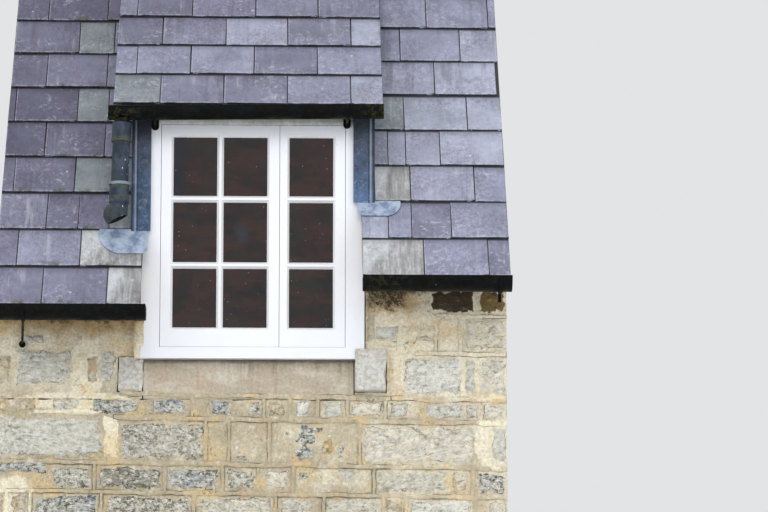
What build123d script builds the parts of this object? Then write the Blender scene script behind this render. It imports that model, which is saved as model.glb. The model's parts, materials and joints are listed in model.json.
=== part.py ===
from build123d import *
import math
import os

# Dormer window in the stone wall and slate roof that carry it. Millimetres, +Z up, +X to the
# right as seen from outside, +Y into the building. The origin is on the underside of the wall,
# in the middle of its thickness and on the centre line of the window opening.

# Masonry
bay_left = 540.0
bay_right = 540.0
wall_thickness = 450.0
wall_below_height = 538.0
sill_stone_height = 162.0
sill_stone_depth = 200.0
sill_stone_short_left = 14.0
sill_stone_short_right = 44.0
jamb_stone_base = 33.0
jamb_stone_left_width = 100.0
jamb_stone_left_height = 138.0
jamb_stone_left_proud = 6.0
jamb_stone_right_width = 131.0
jamb_stone_right_height = 169.0
jamb_stone_right_proud = 60.0
masonry_joint = 3.0

# Window frame
opening_half = 375.0
opening_height = 914.0
frame_proud = 38.0
frame_depth = 95.0
jamb_width = 77.0
frame_sill_height = 46.0
frame_sill_nose = 4.0
frame_head_height = 77.0
rebate_depth = 47.0
stop_width = 12.0
mullion_width = 30.0
window_board_thickness = 22.0
window_board_nose = 15.0

# Sashes and glass
meeting_x = 107.0
sash_gap = 2.0
sash_thickness = 44.0
stile_width = 49.0
casement_meeting_stile = 50.0
fixed_meeting_stile = 39.0
top_rail = 49.0
bottom_rail = 80.0
glazing_rebate = 9.0
glazing_depth = 21.0
glass_thickness = 4.0
glass_play = 1.0

# Roof slopes
main_pitch = 53.5
dormer_pitch = 46.0
main_eaves_out = 303.0
main_eaves_above_frame_bottom = 302.0
left_roof_drop = 121.0
dormer_eaves_out = 90.0
dormer_eaves_below_frame_top = 5.0
slate_layer = 20.0
board_thickness = 20.0
boards_short_of_slates = 30.0
roof_joint = 1.0

# Roof timbers
main_rafter_width = 75.0
main_rafter_depth = 100.0
main_rafter_count = 3
rafter_foot_short = 12.0
rafter_foot_drop = 45.0
wall_plate_width = 100.0
wall_plate_height = 75.0
wall_plate_set_in = 12.0
wall_plate_notch = 50.0
dormer_rafter_width = 50.0
dormer_rafter_depth = 75.0
dormer_rafter_count = 4
rafter_tail_out = 45.0
rafter_tail_drop = 47.0
dormer_boards_short = 38.0
head_beam_depth = 75.0
head_beam_height = 100.0
head_beam_notch = 32.0
corner_post_size = 75.0
top_trimmer_width = 75.0
top_trimmer_height = 170.0
top_trimmer_notch = 30.0
top_trimmer_back = 3.0

# Cheeks, lead and the edges of the slating
cheek_thickness = 38.0
lead_thickness = 3.0
strip_below_tails = 3.0
strip_thickness = 22.0
strip_left_lap = 37.0
strip_right_lap = 46.0
slates_over_frame_left = 9.0
slates_over_frame_right = 14.0
slates_off_face = 4.0
verge_left = 76.0
verge_right = 33.0
boards_inside_verge = 14.0
apron_below_face = 14.0
apron_left_over_frame = 28.0
apron_left_reach = 127.0
apron_left_drop = 140.0
apron_left_curve = 76.0
apron_right_over_frame = 30.0
apron_right_reach = 103.0
apron_right_drop = 85.0
apron_right_curve = 47.0
apron_turn = 22.0

# Dormer gutter and downpipe
dormer_gutter_radius = 50.0
dormer_gutter_wall = 4.0
dormer_gutter_past_left = 15.0
dormer_slates_into_gutter = 25.0
dormer_gutter_rim_drop = 23.0
dormer_gutter_fall = 12.0
rim_bead = 4.0
bracket_left_past_opening = 25.0
bracket_right_past_opening = 5.0
bracket_left_foot_drop = 26.0
bracket_right_foot_drop = 15.0
bracket_foot_radius = 15.0
bracket_foot_thickness = 12.0
bracket_foot_length = 46.0
strap_thickness = 5.0
strap_width = 12.0
rod_radius = 5.0
fit_gap = 0.3
outlet_from_end = 54.0
outlet_radius = 32.0
outlet_bore = 28.0
outlet_length = 52.0
pipe_radius = 35.0
pipe_wall = 4.0
pipe_length = 316.0
pipe_lean = 9.0
pipe_socket_radius = 39.0
pipe_socket_length = 66.0
pipe_bead_radius = 41.0
pipe_bead_height = 12.0
pipe_below_gutter = 13.0
pipe_fit = 0.5
coupler_radius = 40.0
coupler_length = 70.0
coupler_lap = 58.0
shoe_wall = 4.0
shoe_neck_radius = 37.0
shoe_bulb_radius = 48.0
shoe_bulb_left = 12.0
shoe_bulb_forward = 8.0
shoe_mouth_drop = 67.0
shoe_mouth_tilt = 27.0
pipe_strap_height = 11.0
pipe_strap_above_coupler = 3.0
pipe_strap_off_slates = 38.0

# Main gutters
main_gutter_radius = 57.0
main_gutter_wall = 4.0
main_slates_into_gutter = 30.0
main_gutter_rim_drop = 13.0
left_gutter_over_frame = 33.0
right_gutter_over_frame = 14.0
stay_from_end = 102.0
stay_sideways = 25.0
stay_boss_below_eaves = 123.0
stay_boss_radius = 13.0
stay_boss_length = 16.0
bracket_in_from_rafter_edge = 30.0
bracket_plate_height = 90.0

# Places that follow from the sizes
wall_face = -wall_thickness / 2
wall_back = wall_thickness / 2
frame_face = wall_face - frame_proud
frame_back = frame_face + frame_depth
rebate_face = frame_face + rebate_depth
frame_bottom = wall_below_height + sill_stone_height
opening_bottom = frame_bottom + frame_sill_height
opening_top = opening_bottom + opening_height
frame_top = opening_top + frame_head_height
frame_half = opening_half + jamb_width
reveal_half = frame_half + masonry_joint
cheek_outer = frame_half + cheek_thickness
section_left = cheek_outer + bay_left
section_right = cheek_outer + bay_right
lead_outer = cheek_outer + lead_thickness
roof_edge = lead_outer + roof_joint
sill_stone_left = reveal_half - sill_stone_short_left
sill_stone_right = reveal_half - sill_stone_short_right
sill_stone_back = wall_face + sill_stone_depth
build_up = slate_layer + board_thickness


class Slope:
    """A roof plane, known by its pitch and by the top of its slates at the eaves."""

    def __init__(self, pitch, eaves_y, eaves_z):
        self.sin = math.sin(math.radians(pitch))
        self.cos = math.cos(math.radians(pitch))
        self.tan = math.tan(math.radians(pitch))
        self.eaves_y = eaves_y
        self.eaves_z = eaves_z

    def height(self, y, depth=0.0):
        """Height at y of the plane that lies depth below the slates, measured square to them."""
        return self.eaves_z + (y - self.eaves_y) * self.tan - depth / self.cos

    def layer(self, x_from, x_to, foot_y, depth, thickness, head_y):
        """A covering layer with its foot cut square to the slope and its head cut plumb."""
        foot_z = self.height(foot_y, depth)
        outline = [
            (foot_y, foot_z),
            (foot_y + thickness * self.sin, foot_z - thickness * self.cos),
            (head_y, self.height(head_y, depth + thickness)),
            (head_y, self.height(head_y, depth)),
        ]
        return prism(outline, x_from, x_to)

    def rafter(self, x_from, x_to, foot_y, depth, thickness, head_y):
        """A timber with its foot and its head cut plumb."""
        outline = [
            (foot_y, self.height(foot_y, depth)),
            (foot_y, self.height(foot_y, depth + thickness)),
            (head_y, self.height(head_y, depth + thickness)),
            (head_y, self.height(head_y, depth)),
        ]
        return prism(outline, x_from, x_to)

    def surface(self):
        """The plane of the slates' top: x across the roof and y up the slope from the eaves."""
        normal = (0, -self.sin, self.cos)
        return Plane(origin=(0, self.eaves_y, self.eaves_z), x_dir=(1, 0, 0), z_dir=normal)

    def up_slope(self, y):
        """Distance up the slope from the eaves edge to the place y."""
        return (y - self.eaves_y) / self.cos


def block(x_from, x_to, y_from, y_to, z_from, z_to):
    """A plain box between two corners."""
    size = Box(x_to - x_from, y_to - y_from, z_to - z_from)
    return Pos((x_from + x_to) / 2, (y_from + y_to) / 2, (z_from + z_to) / 2) * size


def prism(outline, x_from, x_to):
    """An outline of (y, z) points carried along x."""
    face = Plane.YZ.offset(x_from) * make_face(Polyline(*outline, close=True))
    return extrude(face, amount=x_to - x_from)


def rod(start, end, radius):
    """A round bar between two points."""
    line = Vector(*end) - Vector(*start)
    return Plane(origin=start, z_dir=line) * Cylinder(
        radius, line.length, align=(Align.CENTER, Align.CENTER, Align.MIN)
    )


main_eaves_y = wall_face - main_eaves_out
main_eaves_z = frame_bottom + main_eaves_above_frame_bottom
right_slope = Slope(main_pitch, main_eaves_y, main_eaves_z)
left_slope = Slope(main_pitch, main_eaves_y, main_eaves_z - left_roof_drop)
dormer_slope = Slope(dormer_pitch, frame_face - dormer_eaves_out, frame_top - dormer_eaves_below_frame_top)
top_cut = (dormer_slope.height(0) - right_slope.height(0)) / (right_slope.tan - dormer_slope.tan)
slopes = {"left": left_slope, "right": right_slope}


def wall_top(slope):
    """Level of the masonry under the wall plate."""
    plate_face = wall_face + wall_plate_set_in
    underside = slope.height(plate_face, build_up + main_rafter_depth)
    return underside + wall_plate_notch - wall_plate_height


# Masonry


def jamb_stone_left():
    """The pale stone at the left end of the sill, cut back where the frame stands."""
    base = wall_below_height + jamb_stone_base
    left = -sill_stone_left - jamb_stone_left_width
    face = wall_face - jamb_stone_left_proud
    stone = block(left, -sill_stone_left, face, sill_stone_back, base, base + jamb_stone_left_height)
    return stone - frame_space()


def jamb_stone_right():
    """The big stone at the right end of the sill, which laps over the corner of the frame."""
    base = wall_below_height + jamb_stone_base
    right = sill_stone_right + jamb_stone_right_width
    face = wall_face - jamb_stone_right_proud
    stone = block(sill_stone_right, right, face, sill_stone_back, base, base + jamb_stone_right_height)
    return stone - frame_space()


def frame_space():
    """The room that the frame and the reveal behind it take, with a joint round them."""
    front = frame_face - frame_sill_nose - roof_joint
    return block(-reveal_half, reveal_half, front, wall_back, frame_bottom, frame_top)


def wall_below_window():
    """The wall up to the sill, with the part behind the stone sill."""
    lower = block(-section_left, section_right, wall_face, wall_back, 0, wall_below_height)
    behind = block(-reveal_half, reveal_half, sill_stone_back, wall_back, wall_below_height, frame_bottom)
    return lower + behind


def wall_left():
    """The wall on the left of the window, up to its plate."""
    top = wall_top(left_slope)
    base = wall_below_height + jamb_stone_base
    side = block(-section_left, -reveal_half, wall_face, wall_back, wall_below_height, top)
    shelf = block(-reveal_half, -sill_stone_left, wall_face, sill_stone_back, wall_below_height, base)
    return side + shelf - jamb_stone_left()


def wall_right():
    """The wall on the right of the window, up to its plate."""
    top = wall_top(right_slope)
    base = wall_below_height + jamb_stone_base
    side = block(reveal_half, section_right, wall_face, wall_back, wall_below_height, top)
    shelf = block(sill_stone_right, reveal_half, wall_face, sill_stone_back, wall_below_height, base)
    return side + shelf - jamb_stone_right()


def stone_sill():
    """The long stone under the window."""
    return block(
        -sill_stone_left, sill_stone_right, wall_face, sill_stone_back, wall_below_height, frame_bottom
    )


def wall_plate(side):
    """The timber on top of the wall that the rafters are notched over."""
    base = wall_top(slopes[side])
    x_from, x_to = (-section_left, -reveal_half) if side == "left" else (reveal_half, section_right)
    y_from = wall_face + wall_plate_set_in
    return block(x_from, x_to, y_from, y_from + wall_plate_width, base, base + wall_plate_height)


# Window frame


def frame_head():
    """The head of the frame, with the stop that the sashes close on."""
    head = block(-frame_half, frame_half, frame_face, frame_back, opening_top, frame_top)
    stop_half = opening_half - stop_width
    stop = block(-stop_half, stop_half, rebate_face, frame_back, opening_top - stop_width, opening_top)
    return head + stop


def frame_jamb(side):
    """One upright of the frame, with its stop."""
    jamb = block(
        opening_half, frame_half, frame_face, frame_back, opening_bottom, opening_top
    ) + block(
        opening_half - stop_width, opening_half, rebate_face, frame_back, opening_bottom, opening_top
    )
    return jamb if side == "right" else mirror(jamb, about=Plane.YZ)


def frame_sill():
    """The timber sill of the frame, with its stop."""
    nose = frame_face - frame_sill_nose
    sill = block(-frame_half, frame_half, nose, frame_back, frame_bottom, opening_bottom)
    stop_half = opening_half - stop_width
    stop_top = opening_bottom + stop_width
    return sill + block(-stop_half, stop_half, rebate_face, frame_back, opening_bottom, stop_top)


def frame_mullion():
    """The post behind the two meeting stiles."""
    x_from = meeting_x - mullion_width / 2
    z_from = opening_bottom + stop_width
    z_to = opening_top - stop_width
    return block(x_from, x_from + mullion_width, rebate_face, frame_back, z_from, z_to)


def window_board():
    """The inner sill board, which closes the top of the wall behind the frame."""
    back = wall_back + window_board_nose
    top = frame_bottom + window_board_thickness
    return block(-reveal_half, reveal_half, frame_back, back, frame_bottom, top)


# Sashes and glass


def sash_edges(side):
    """The left and right edge of a sash and the widths of its two stiles."""
    if side == "left":
        return -opening_half + sash_gap, meeting_x - sash_gap / 2, stile_width, casement_meeting_stile
    return meeting_x + sash_gap / 2, opening_half - sash_gap, fixed_meeting_stile, stile_width


def sash_light(side):
    """The sight size of a sash: the edges of its glazed opening."""
    left, right, left_stile, right_stile = sash_edges(side)
    bottom = opening_bottom + sash_gap + bottom_rail
    top = opening_top - sash_gap - top_rail
    return left + left_stile, right - right_stile, bottom, top


def sash(side):
    """Stiles and rails of one sash, rebated on the outside for its glass."""
    left, right, _, _ = sash_edges(side)
    light_left, light_right, light_bottom, light_top = sash_light(side)
    face = rebate_face - sash_thickness
    glass_seat = face + glazing_depth
    body = block(left, right, face, rebate_face, opening_bottom + sash_gap, opening_top - sash_gap)
    light = block(light_left, light_right, face, rebate_face, light_bottom, light_top)
    rebate = block(
        light_left - glazing_rebate,
        light_right + glazing_rebate,
        face,
        glass_seat,
        light_bottom - glazing_rebate,
        light_top + glazing_rebate,
    )
    return body - light - rebate


def glass(side):
    """One sheet of glass, lying on the back of the sash's rebate."""
    light_left, light_right, light_bottom, light_top = sash_light(side)
    seat = rebate_face - sash_thickness + glazing_depth
    grow = glazing_rebate - glass_play
    sheet = (light_left - grow, light_right + grow, seat - glass_thickness, seat)
    return block(*sheet, light_bottom - grow, light_top + grow)


# Timbers of the dormer


def head_beam_top():
    """Top of the beam behind the frame's head."""
    return dormer_slope.height(frame_back, build_up + dormer_rafter_depth) + head_beam_notch


def head_beam():
    """The beam behind the frame's head, which carries the dormer's rafters."""
    top = head_beam_top()
    return block(
        -frame_half, frame_half, frame_back, frame_back + head_beam_depth, top - head_beam_height, top
    )


def corner_posts():
    """The posts behind the frame's jambs, which carry the beam."""
    base = frame_bottom + window_board_thickness
    top = head_beam_top() - head_beam_height
    y_to = frame_back + corner_post_size
    right = block(frame_half - corner_post_size, frame_half, frame_back, y_to, base, top)
    return [mirror(right, about=Plane.YZ), right]


def top_trimmer():
    """The cross timber between the main rafters where the dormer's rafters end."""
    y_to = top_cut - top_trimmer_back
    y_from = y_to - top_trimmer_width
    top = dormer_slope.height(y_from, build_up + dormer_rafter_depth) + top_trimmer_notch
    return block(-frame_half, frame_half, y_from, y_to, top - top_trimmer_height, top)


def dormer_rafters():
    """Rafters notched over the beam and the frame's head, with short tails behind the gutter."""
    tail_y = frame_face - rafter_tail_out
    seats = [
        block(-frame_half, frame_half, tail_y, frame_face, opening_bottom, frame_top - rafter_tail_drop),
        block(-frame_half, frame_half, frame_face, frame_back, opening_bottom, frame_top),
        head_beam(),
        top_trimmer(),
    ]
    spread = 2 * frame_half - dormer_rafter_width
    rafters = []
    for number in range(dormer_rafter_count):
        x_from = -frame_half + spread * number / (dormer_rafter_count - 1)
        rafter = dormer_slope.rafter(
            x_from, x_from + dormer_rafter_width, tail_y, build_up, dormer_rafter_depth, top_cut
        )
        for seat in seats:
            rafter = rafter - seat
        rafters.append(rafter)
    return rafters


def main_roof_body():
    """The right-hand roof under the top of its slates, where the dormer's verge dies into it."""
    depth = 4 * build_up
    return right_slope.rafter(lead_outer, section_right, right_slope.eaves_y, 0, depth, top_cut + depth)


def dormer_roof_boards():
    """Close boarding under the dormer's slates."""
    foot = dormer_slope.eaves_y + dormer_boards_short
    boards = dormer_slope.layer(
        -lead_outer - verge_left + boards_inside_verge,
        lead_outer + verge_right - boards_inside_verge,
        foot,
        slate_layer,
        board_thickness,
        top_cut,
    )
    return boards - main_roof_body()


def dormer_slates():
    """The dormer's slating as one layer."""
    slates = dormer_slope.layer(
        -lead_outer - verge_left, lead_outer + verge_right, dormer_slope.eaves_y, 0, slate_layer, top_cut
    )
    return slates - main_roof_body()


# Cheeks and lead


def cheek_outline(side, front, depth_low):
    """The side of the dormer between a plane of the main roof and the dormer's boards."""
    slope = slopes[side]
    rise = dormer_slope.height(front, build_up) - slope.height(front, depth_low)
    meeting = front + rise / (slope.tan - dormer_slope.tan)
    front_edge = [(front, slope.height(front, depth_low)), (front, dormer_slope.height(front, build_up))]
    if meeting < top_cut:
        return front_edge + [(meeting, slope.height(meeting, depth_low))]
    head_edge = [
        (top_cut, dormer_slope.height(top_cut, build_up)),
        (top_cut, slope.height(top_cut, depth_low)),
    ]
    return front_edge + head_edge


def cheek(side):
    """The plank side of the dormer, standing on the main rafter."""
    outline = cheek_outline(side, frame_face, build_up)
    if side == "left":
        return prism(outline, -cheek_outer, -frame_half)
    return prism(outline, frame_half, cheek_outer)


def cheek_lead(side):
    """Sheet lead on the side of the dormer, down to the main roof's boards."""
    outline = cheek_outline(side, frame_face, slate_layer)
    if side == "left":
        return prism(outline, -lead_outer, -cheek_outer)
    return prism(outline, cheek_outer, lead_outer)


def lead_strip(side):
    """The batten wrapped in lead at the corner of the dormer, on the face of the frame."""
    slope = slopes[side]
    y_from = frame_face - strip_thickness
    top = frame_top - rafter_tail_drop - strip_below_tails
    clear = lead_thickness / slope.cos + roof_joint
    outline = [
        (y_from, slope.height(y_from) + clear),
        (frame_face, slope.height(frame_face) + clear),
        (frame_face, top),
        (y_from, top),
    ]
    if side == "left":
        return prism(outline, -lead_outer, -frame_half + strip_left_lap)
    return prism(outline, frame_half - strip_right_lap, lead_outer)


def lead_apron(side):
    """The lead at the foot of the dormer's corner, lying on the main slates."""
    slope = slopes[side]
    head = slope.up_slope(frame_face - slates_off_face) - apron_below_face
    if side == "left":
        sign, reach, drop, curve = -1, apron_left_reach, apron_left_drop, apron_left_curve
        inner = frame_half - apron_left_over_frame
    else:
        sign, reach, drop, curve = 1, apron_right_reach, apron_right_drop, apron_right_curve
        inner = frame_half - apron_right_over_frame
    outer = lead_outer + reach
    bend = curve * (1 - math.sqrt(0.5))
    drop_bend = drop * (1 - math.sqrt(0.5))
    foot = head - drop
    outline = (
        Polyline((sign * outer, head), (sign * inner, head), (sign * inner, foot + apron_turn))
        + Line((sign * inner, foot + apron_turn), (sign * (inner + apron_turn), foot))
        + Line((sign * (inner + apron_turn), foot), (sign * (outer - curve), foot))
        + ThreePointArc(
            (sign * (outer - curve), foot),
            (sign * (outer - bend), foot + drop_bend),
            (sign * outer, head),
        )
    )
    face = make_face(outline)
    sheet = extrude(slope.surface() * face, amount=lead_thickness, dir=Vector(0, -slope.sin, slope.cos))
    return sheet


# Main roof


def main_rafters(side):
    """Rafters from the dormer to the cut end, with level feet and notched over the plate."""
    slope = slopes[side]
    foot = slope.eaves_y + boards_short_of_slates + rafter_foot_short
    end = section_left if side == "left" else section_right
    spread = end - main_rafter_width - frame_half
    plate = wall_plate(side)
    foot_level = slope.eaves_z - rafter_foot_drop
    below = block(-section_left, section_right, slope.eaves_y, wall_face, 0, foot_level)
    rafters = []
    for number in range(main_rafter_count):
        start = frame_half + spread * number / (main_rafter_count - 1)
        x_from = start if side == "right" else -start - main_rafter_width
        rafter = slope.rafter(
            x_from, x_from + main_rafter_width, foot, build_up, main_rafter_depth, top_cut
        )
        rafters.append(rafter - plate - below)
    return rafters


def main_layer(side, foot, depth, thickness):
    """A layer of the main roof beside the dormer and in front of the edge of its frame."""
    slope = slopes[side]
    front = block(
        -section_left, section_right, slope.eaves_y, frame_face - slates_off_face, 0, frame_top
    )
    if side == "left":
        beside = slope.layer(-section_left, -roof_edge, foot, depth, thickness, top_cut)
        inner = -frame_half + slates_over_frame_left
        tongue = slope.layer(-roof_edge, inner, foot, depth, thickness, top_cut)
    else:
        beside = slope.layer(roof_edge, section_right, foot, depth, thickness, top_cut)
        inner = frame_half - slates_over_frame_right
        tongue = slope.layer(inner, roof_edge, foot, depth, thickness, top_cut)
    return beside + (tongue & front)


def main_roof_boards(side):
    """Close boarding under the main slates."""
    foot = slopes[side].eaves_y + boards_short_of_slates
    return main_layer(side, foot, slate_layer, board_thickness)


def main_slates(side):
    """The main slating beside the dormer as one layer."""
    return main_layer(side, slopes[side].eaves_y, 0, slate_layer)


# Gutters


def trough(x_from, x_to, radius, wall, stop_left, stop_right):
    """A half-round gutter along x with its rim at z 0, with or without its stop ends."""
    length = x_to - x_from
    shell = rod((x_from, 0, 0), (x_to, 0, 0), radius)
    inner_from = x_from + (wall if stop_left else -wall)
    inner_to = x_to - (wall if stop_right else -wall)
    shell = shell - rod((inner_from, 0, 0), (inner_to, 0, 0), radius - wall)
    shell = shell - block(x_from - wall, x_to + wall, -2 * radius, 2 * radius, 0, 2 * radius)
    bead_y = -radius + wall / 2
    bead = rod((x_from, bead_y, -wall / 2), (x_from + length, bead_y, -wall / 2), rim_bead)
    return shell + bead


def strap(radius):
    """A flat iron bent round the front and the underside of a gutter, across x 0."""
    inner = radius + rim_bead / 2 + fit_gap
    outer = inner + strap_thickness
    ring = rod((-strap_width / 2, 0, 0), (strap_width / 2, 0, 0), outer)
    ring = ring - rod((-strap_width, 0, 0), (strap_width, 0, 0), inner)
    return ring - block(-strap_width, strap_width, -2 * outer, 2 * outer, 0, 2 * outer)


dormer_gutter_y = dormer_slope.eaves_y + dormer_slates_into_gutter - dormer_gutter_radius
dormer_gutter_z = dormer_slope.eaves_z - dormer_gutter_rim_drop
dormer_gutter_left = -lead_outer - verge_left - dormer_gutter_past_left
dormer_gutter_right = lead_outer + verge_right
gutter_middle = (dormer_gutter_left + dormer_gutter_right) / 2
outlet_x = dormer_gutter_left + outlet_from_end
fall_angle = math.degrees(math.atan2(dormer_gutter_fall, dormer_gutter_right - dormer_gutter_left))
gutter_place = Pos(gutter_middle, dormer_gutter_y, dormer_gutter_z) * Rot(0, -fall_angle, 0)


def rim_height(x):
    """Height of the dormer gutter's sloping rim at x."""
    return dormer_gutter_z + (x - gutter_middle) * math.tan(math.radians(fall_angle))


def dormer_gutter():
    """The gutter under the dormer's slates, with its outlet."""
    left = dormer_gutter_left - gutter_middle
    body = trough(left, -left, dormer_gutter_radius, dormer_gutter_wall, True, True)
    body = gutter_place * body
    start = (outlet_x, dormer_gutter_y, rim_height(outlet_x) - dormer_gutter_radius + dormer_gutter_wall)
    end = (outlet_x, dormer_gutter_y, start[2] - outlet_length)
    above = (outlet_x, dormer_gutter_y, start[2] + dormer_gutter_wall)
    below = (outlet_x, dormer_gutter_y, end[2] - dormer_gutter_wall)
    return body + rod(start, end, outlet_radius) - rod(above, below, outlet_bore)


def dormer_gutter_bracket(x, foot_drop):
    """A strap round the gutter with a rod back to a plate with a round foot on the face of the frame."""
    rim = rim_height(x)
    iron = Pos(x, dormer_gutter_y, rim) * strap(dormer_gutter_radius)
    low = rim - dormer_gutter_radius - rim_bead / 2 - fit_gap - strap_thickness / 2
    foot = opening_top - foot_drop
    middle = foot + bracket_foot_radius
    front = frame_face - bracket_foot_thickness
    tie = rod((x, dormer_gutter_y, low), (x, (front + frame_face) / 2, middle), rod_radius)
    plate = rod((x, front, middle), (x, frame_face, middle), bracket_foot_radius) + block(
        x - bracket_foot_radius, x + bracket_foot_radius, front, frame_face, middle, foot + bracket_foot_length
    )
    tie = tie - rod(
        (x - strap_width, dormer_gutter_y, rim), (x + strap_width, dormer_gutter_y, rim),
        dormer_gutter_radius + rim_bead / 2 + fit_gap,
    )
    return iron + tie + plate


def dormer_gutter_brackets():
    """The two brackets, over the jambs of the frame."""
    left_x = -opening_half - bracket_left_past_opening
    right_x = opening_half + bracket_right_past_opening
    return [
        dormer_gutter_bracket(left_x, bracket_left_foot_drop),
        dormer_gutter_bracket(right_x, bracket_right_foot_drop),
    ]


# Downpipe

pipe_top = rim_height(outlet_x) - dormer_gutter_radius - pipe_below_gutter
lean_angle = math.degrees(math.atan2(pipe_lean, pipe_length))
pipe_place = Pos(outlet_x, dormer_gutter_y, pipe_top) * Rot(0, lean_angle, 0)


def downpipe():
    """The pipe under the outlet, with its socket and bead, leaning a little to the left."""
    socket = Cylinder(pipe_socket_radius, pipe_socket_length, align=(Align.CENTER, Align.CENTER, Align.MAX))
    bead_place = Pos(0, 0, -pipe_socket_length)
    bead = bead_place * Cylinder(
        pipe_bead_radius, pipe_bead_height, align=(Align.CENTER, Align.CENTER, Align.MAX)
    )
    body = Cylinder(pipe_radius, pipe_length, align=(Align.CENTER, Align.CENTER, Align.MAX))
    bore = Cylinder(pipe_radius - pipe_wall, 3 * pipe_length)
    socket_bore = Cylinder(pipe_socket_radius - pipe_wall, 2 * (pipe_socket_length - pipe_wall))
    return pipe_place * (socket + bead + body - bore - socket_bore)


def downpipe_shoe():
    """The shoe: a coupler, a neck and a bulb swung to the left, with a slanting mouth."""
    top = coupler_lap - pipe_length
    base = top - coupler_length
    hang = (Align.CENTER, Align.CENTER, Align.MAX)
    bulb_place = Pos(-shoe_bulb_left, -shoe_bulb_forward, base - shoe_bulb_radius)
    outside = Pos(0, 0, top) * Cylinder(coupler_radius, coupler_length, align=hang)
    outside = outside + Pos(0, 0, base) * Cylinder(shoe_neck_radius, shoe_bulb_radius, align=hang)
    outside = outside + bulb_place * Sphere(shoe_bulb_radius)
    inside = Pos(0, 0, top) * Cylinder(
        shoe_neck_radius - shoe_wall, coupler_length + shoe_bulb_radius, align=hang
    )
    inside = inside + Pos(0, 0, top) * Cylinder(pipe_radius + pipe_fit, coupler_lap + fit_gap, align=hang)
    inside = inside + bulb_place * Sphere(shoe_bulb_radius - shoe_wall)
    mouth_place = Pos(0, 0, base - shoe_mouth_drop) * Rot(0, -shoe_mouth_tilt, 0)
    reach = 4 * shoe_bulb_radius
    below = mouth_place * Box(reach, reach, reach, align=(Align.CENTER, Align.CENTER, Align.MAX))
    return pipe_place * (outside - inside - below)


def downpipe_bracket():
    """An iron ring round the pipe with a tail along the side of the dormer."""
    drop = pipe_length - coupler_lap - pipe_strap_above_coupler - pipe_strap_height
    x = outlet_x - drop * math.tan(math.radians(lean_angle))
    z = pipe_top - drop
    inner = pipe_radius + pipe_fit
    outer = -lead_outer - fit_gap - x
    z_from = z - pipe_strap_height
    ring = rod((x, dormer_gutter_y, z_from), (x, dormer_gutter_y, z), outer)
    tail_from = -lead_outer - fit_gap - strap_thickness
    tail_to = left_slope.eaves_y + (z_from - left_slope.eaves_z) / left_slope.tan - pipe_strap_off_slates
    tail = block(tail_from, tail_from + strap_thickness, dormer_gutter_y, tail_to, z_from, z)
    hole = rod((x, dormer_gutter_y, z_from - drop), (x, dormer_gutter_y, z + drop), inner)
    return ring + tail - hole


# Main gutters


def main_gutter_place(side):
    """Middle of the main gutter's rim on one side."""
    slope = slopes[side]
    y = slope.eaves_y + main_slates_into_gutter - main_gutter_radius
    return y, slope.eaves_z - main_gutter_rim_drop


def main_gutter(side):
    """The eaves gutter on one side, with a stop end beside the dormer and a plain cut end."""
    y, z = main_gutter_place(side)
    if side == "left":
        inner = -frame_half + left_gutter_over_frame
        body = trough(-section_left, inner, main_gutter_radius, main_gutter_wall, False, True)
    else:
        inner = frame_half - right_gutter_over_frame
        body = trough(inner, section_right, main_gutter_radius, main_gutter_wall, True, False)
    return Pos(0, y, z) * body


def main_gutter_stay():
    """The strap and rod under the left gutter, running back and outwards to a boss in the wall."""
    y, z = main_gutter_place("left")
    boss_x = stay_from_end - section_left
    strap_x = boss_x + stay_sideways
    stay_wall_height = left_slope.eaves_z - stay_boss_below_eaves
    iron = Pos(strap_x, y, z) * strap(main_gutter_radius)
    low = z - main_gutter_radius - rim_bead / 2 - fit_gap - strap_thickness / 2
    boss_middle = wall_face - stay_boss_length / 2
    tie = rod((strap_x, y, low), (boss_x, boss_middle, stay_wall_height), rod_radius)
    boss_from = (boss_x, wall_face - stay_boss_length, stay_wall_height)
    boss = rod(boss_from, (boss_x, wall_face, stay_wall_height), stay_boss_radius)
    clear = rod(
        (boss_x - strap_width, y, z), (strap_x + strap_width, y, z),
        main_gutter_radius + rim_bead / 2 + fit_gap,
    )
    return iron + (tie - clear) + boss


def main_gutter_bracket():
    """The strap under the right gutter, with a plate on the foot of the end rafter."""
    y, z = main_gutter_place("right")
    slope = right_slope
    foot = slope.eaves_y + boards_short_of_slates + rafter_foot_short
    bracket_x = section_right - main_rafter_width + bracket_in_from_rafter_edge
    iron = Pos(bracket_x, y, z) * strap(main_gutter_radius)
    back = y + main_gutter_radius + rim_bead / 2 + fit_gap
    half = strap_width / 2
    plate = block(
        bracket_x - half, bracket_x + half, back, foot, z - bracket_plate_height, z - strap_thickness
    )
    return iron + plate


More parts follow.
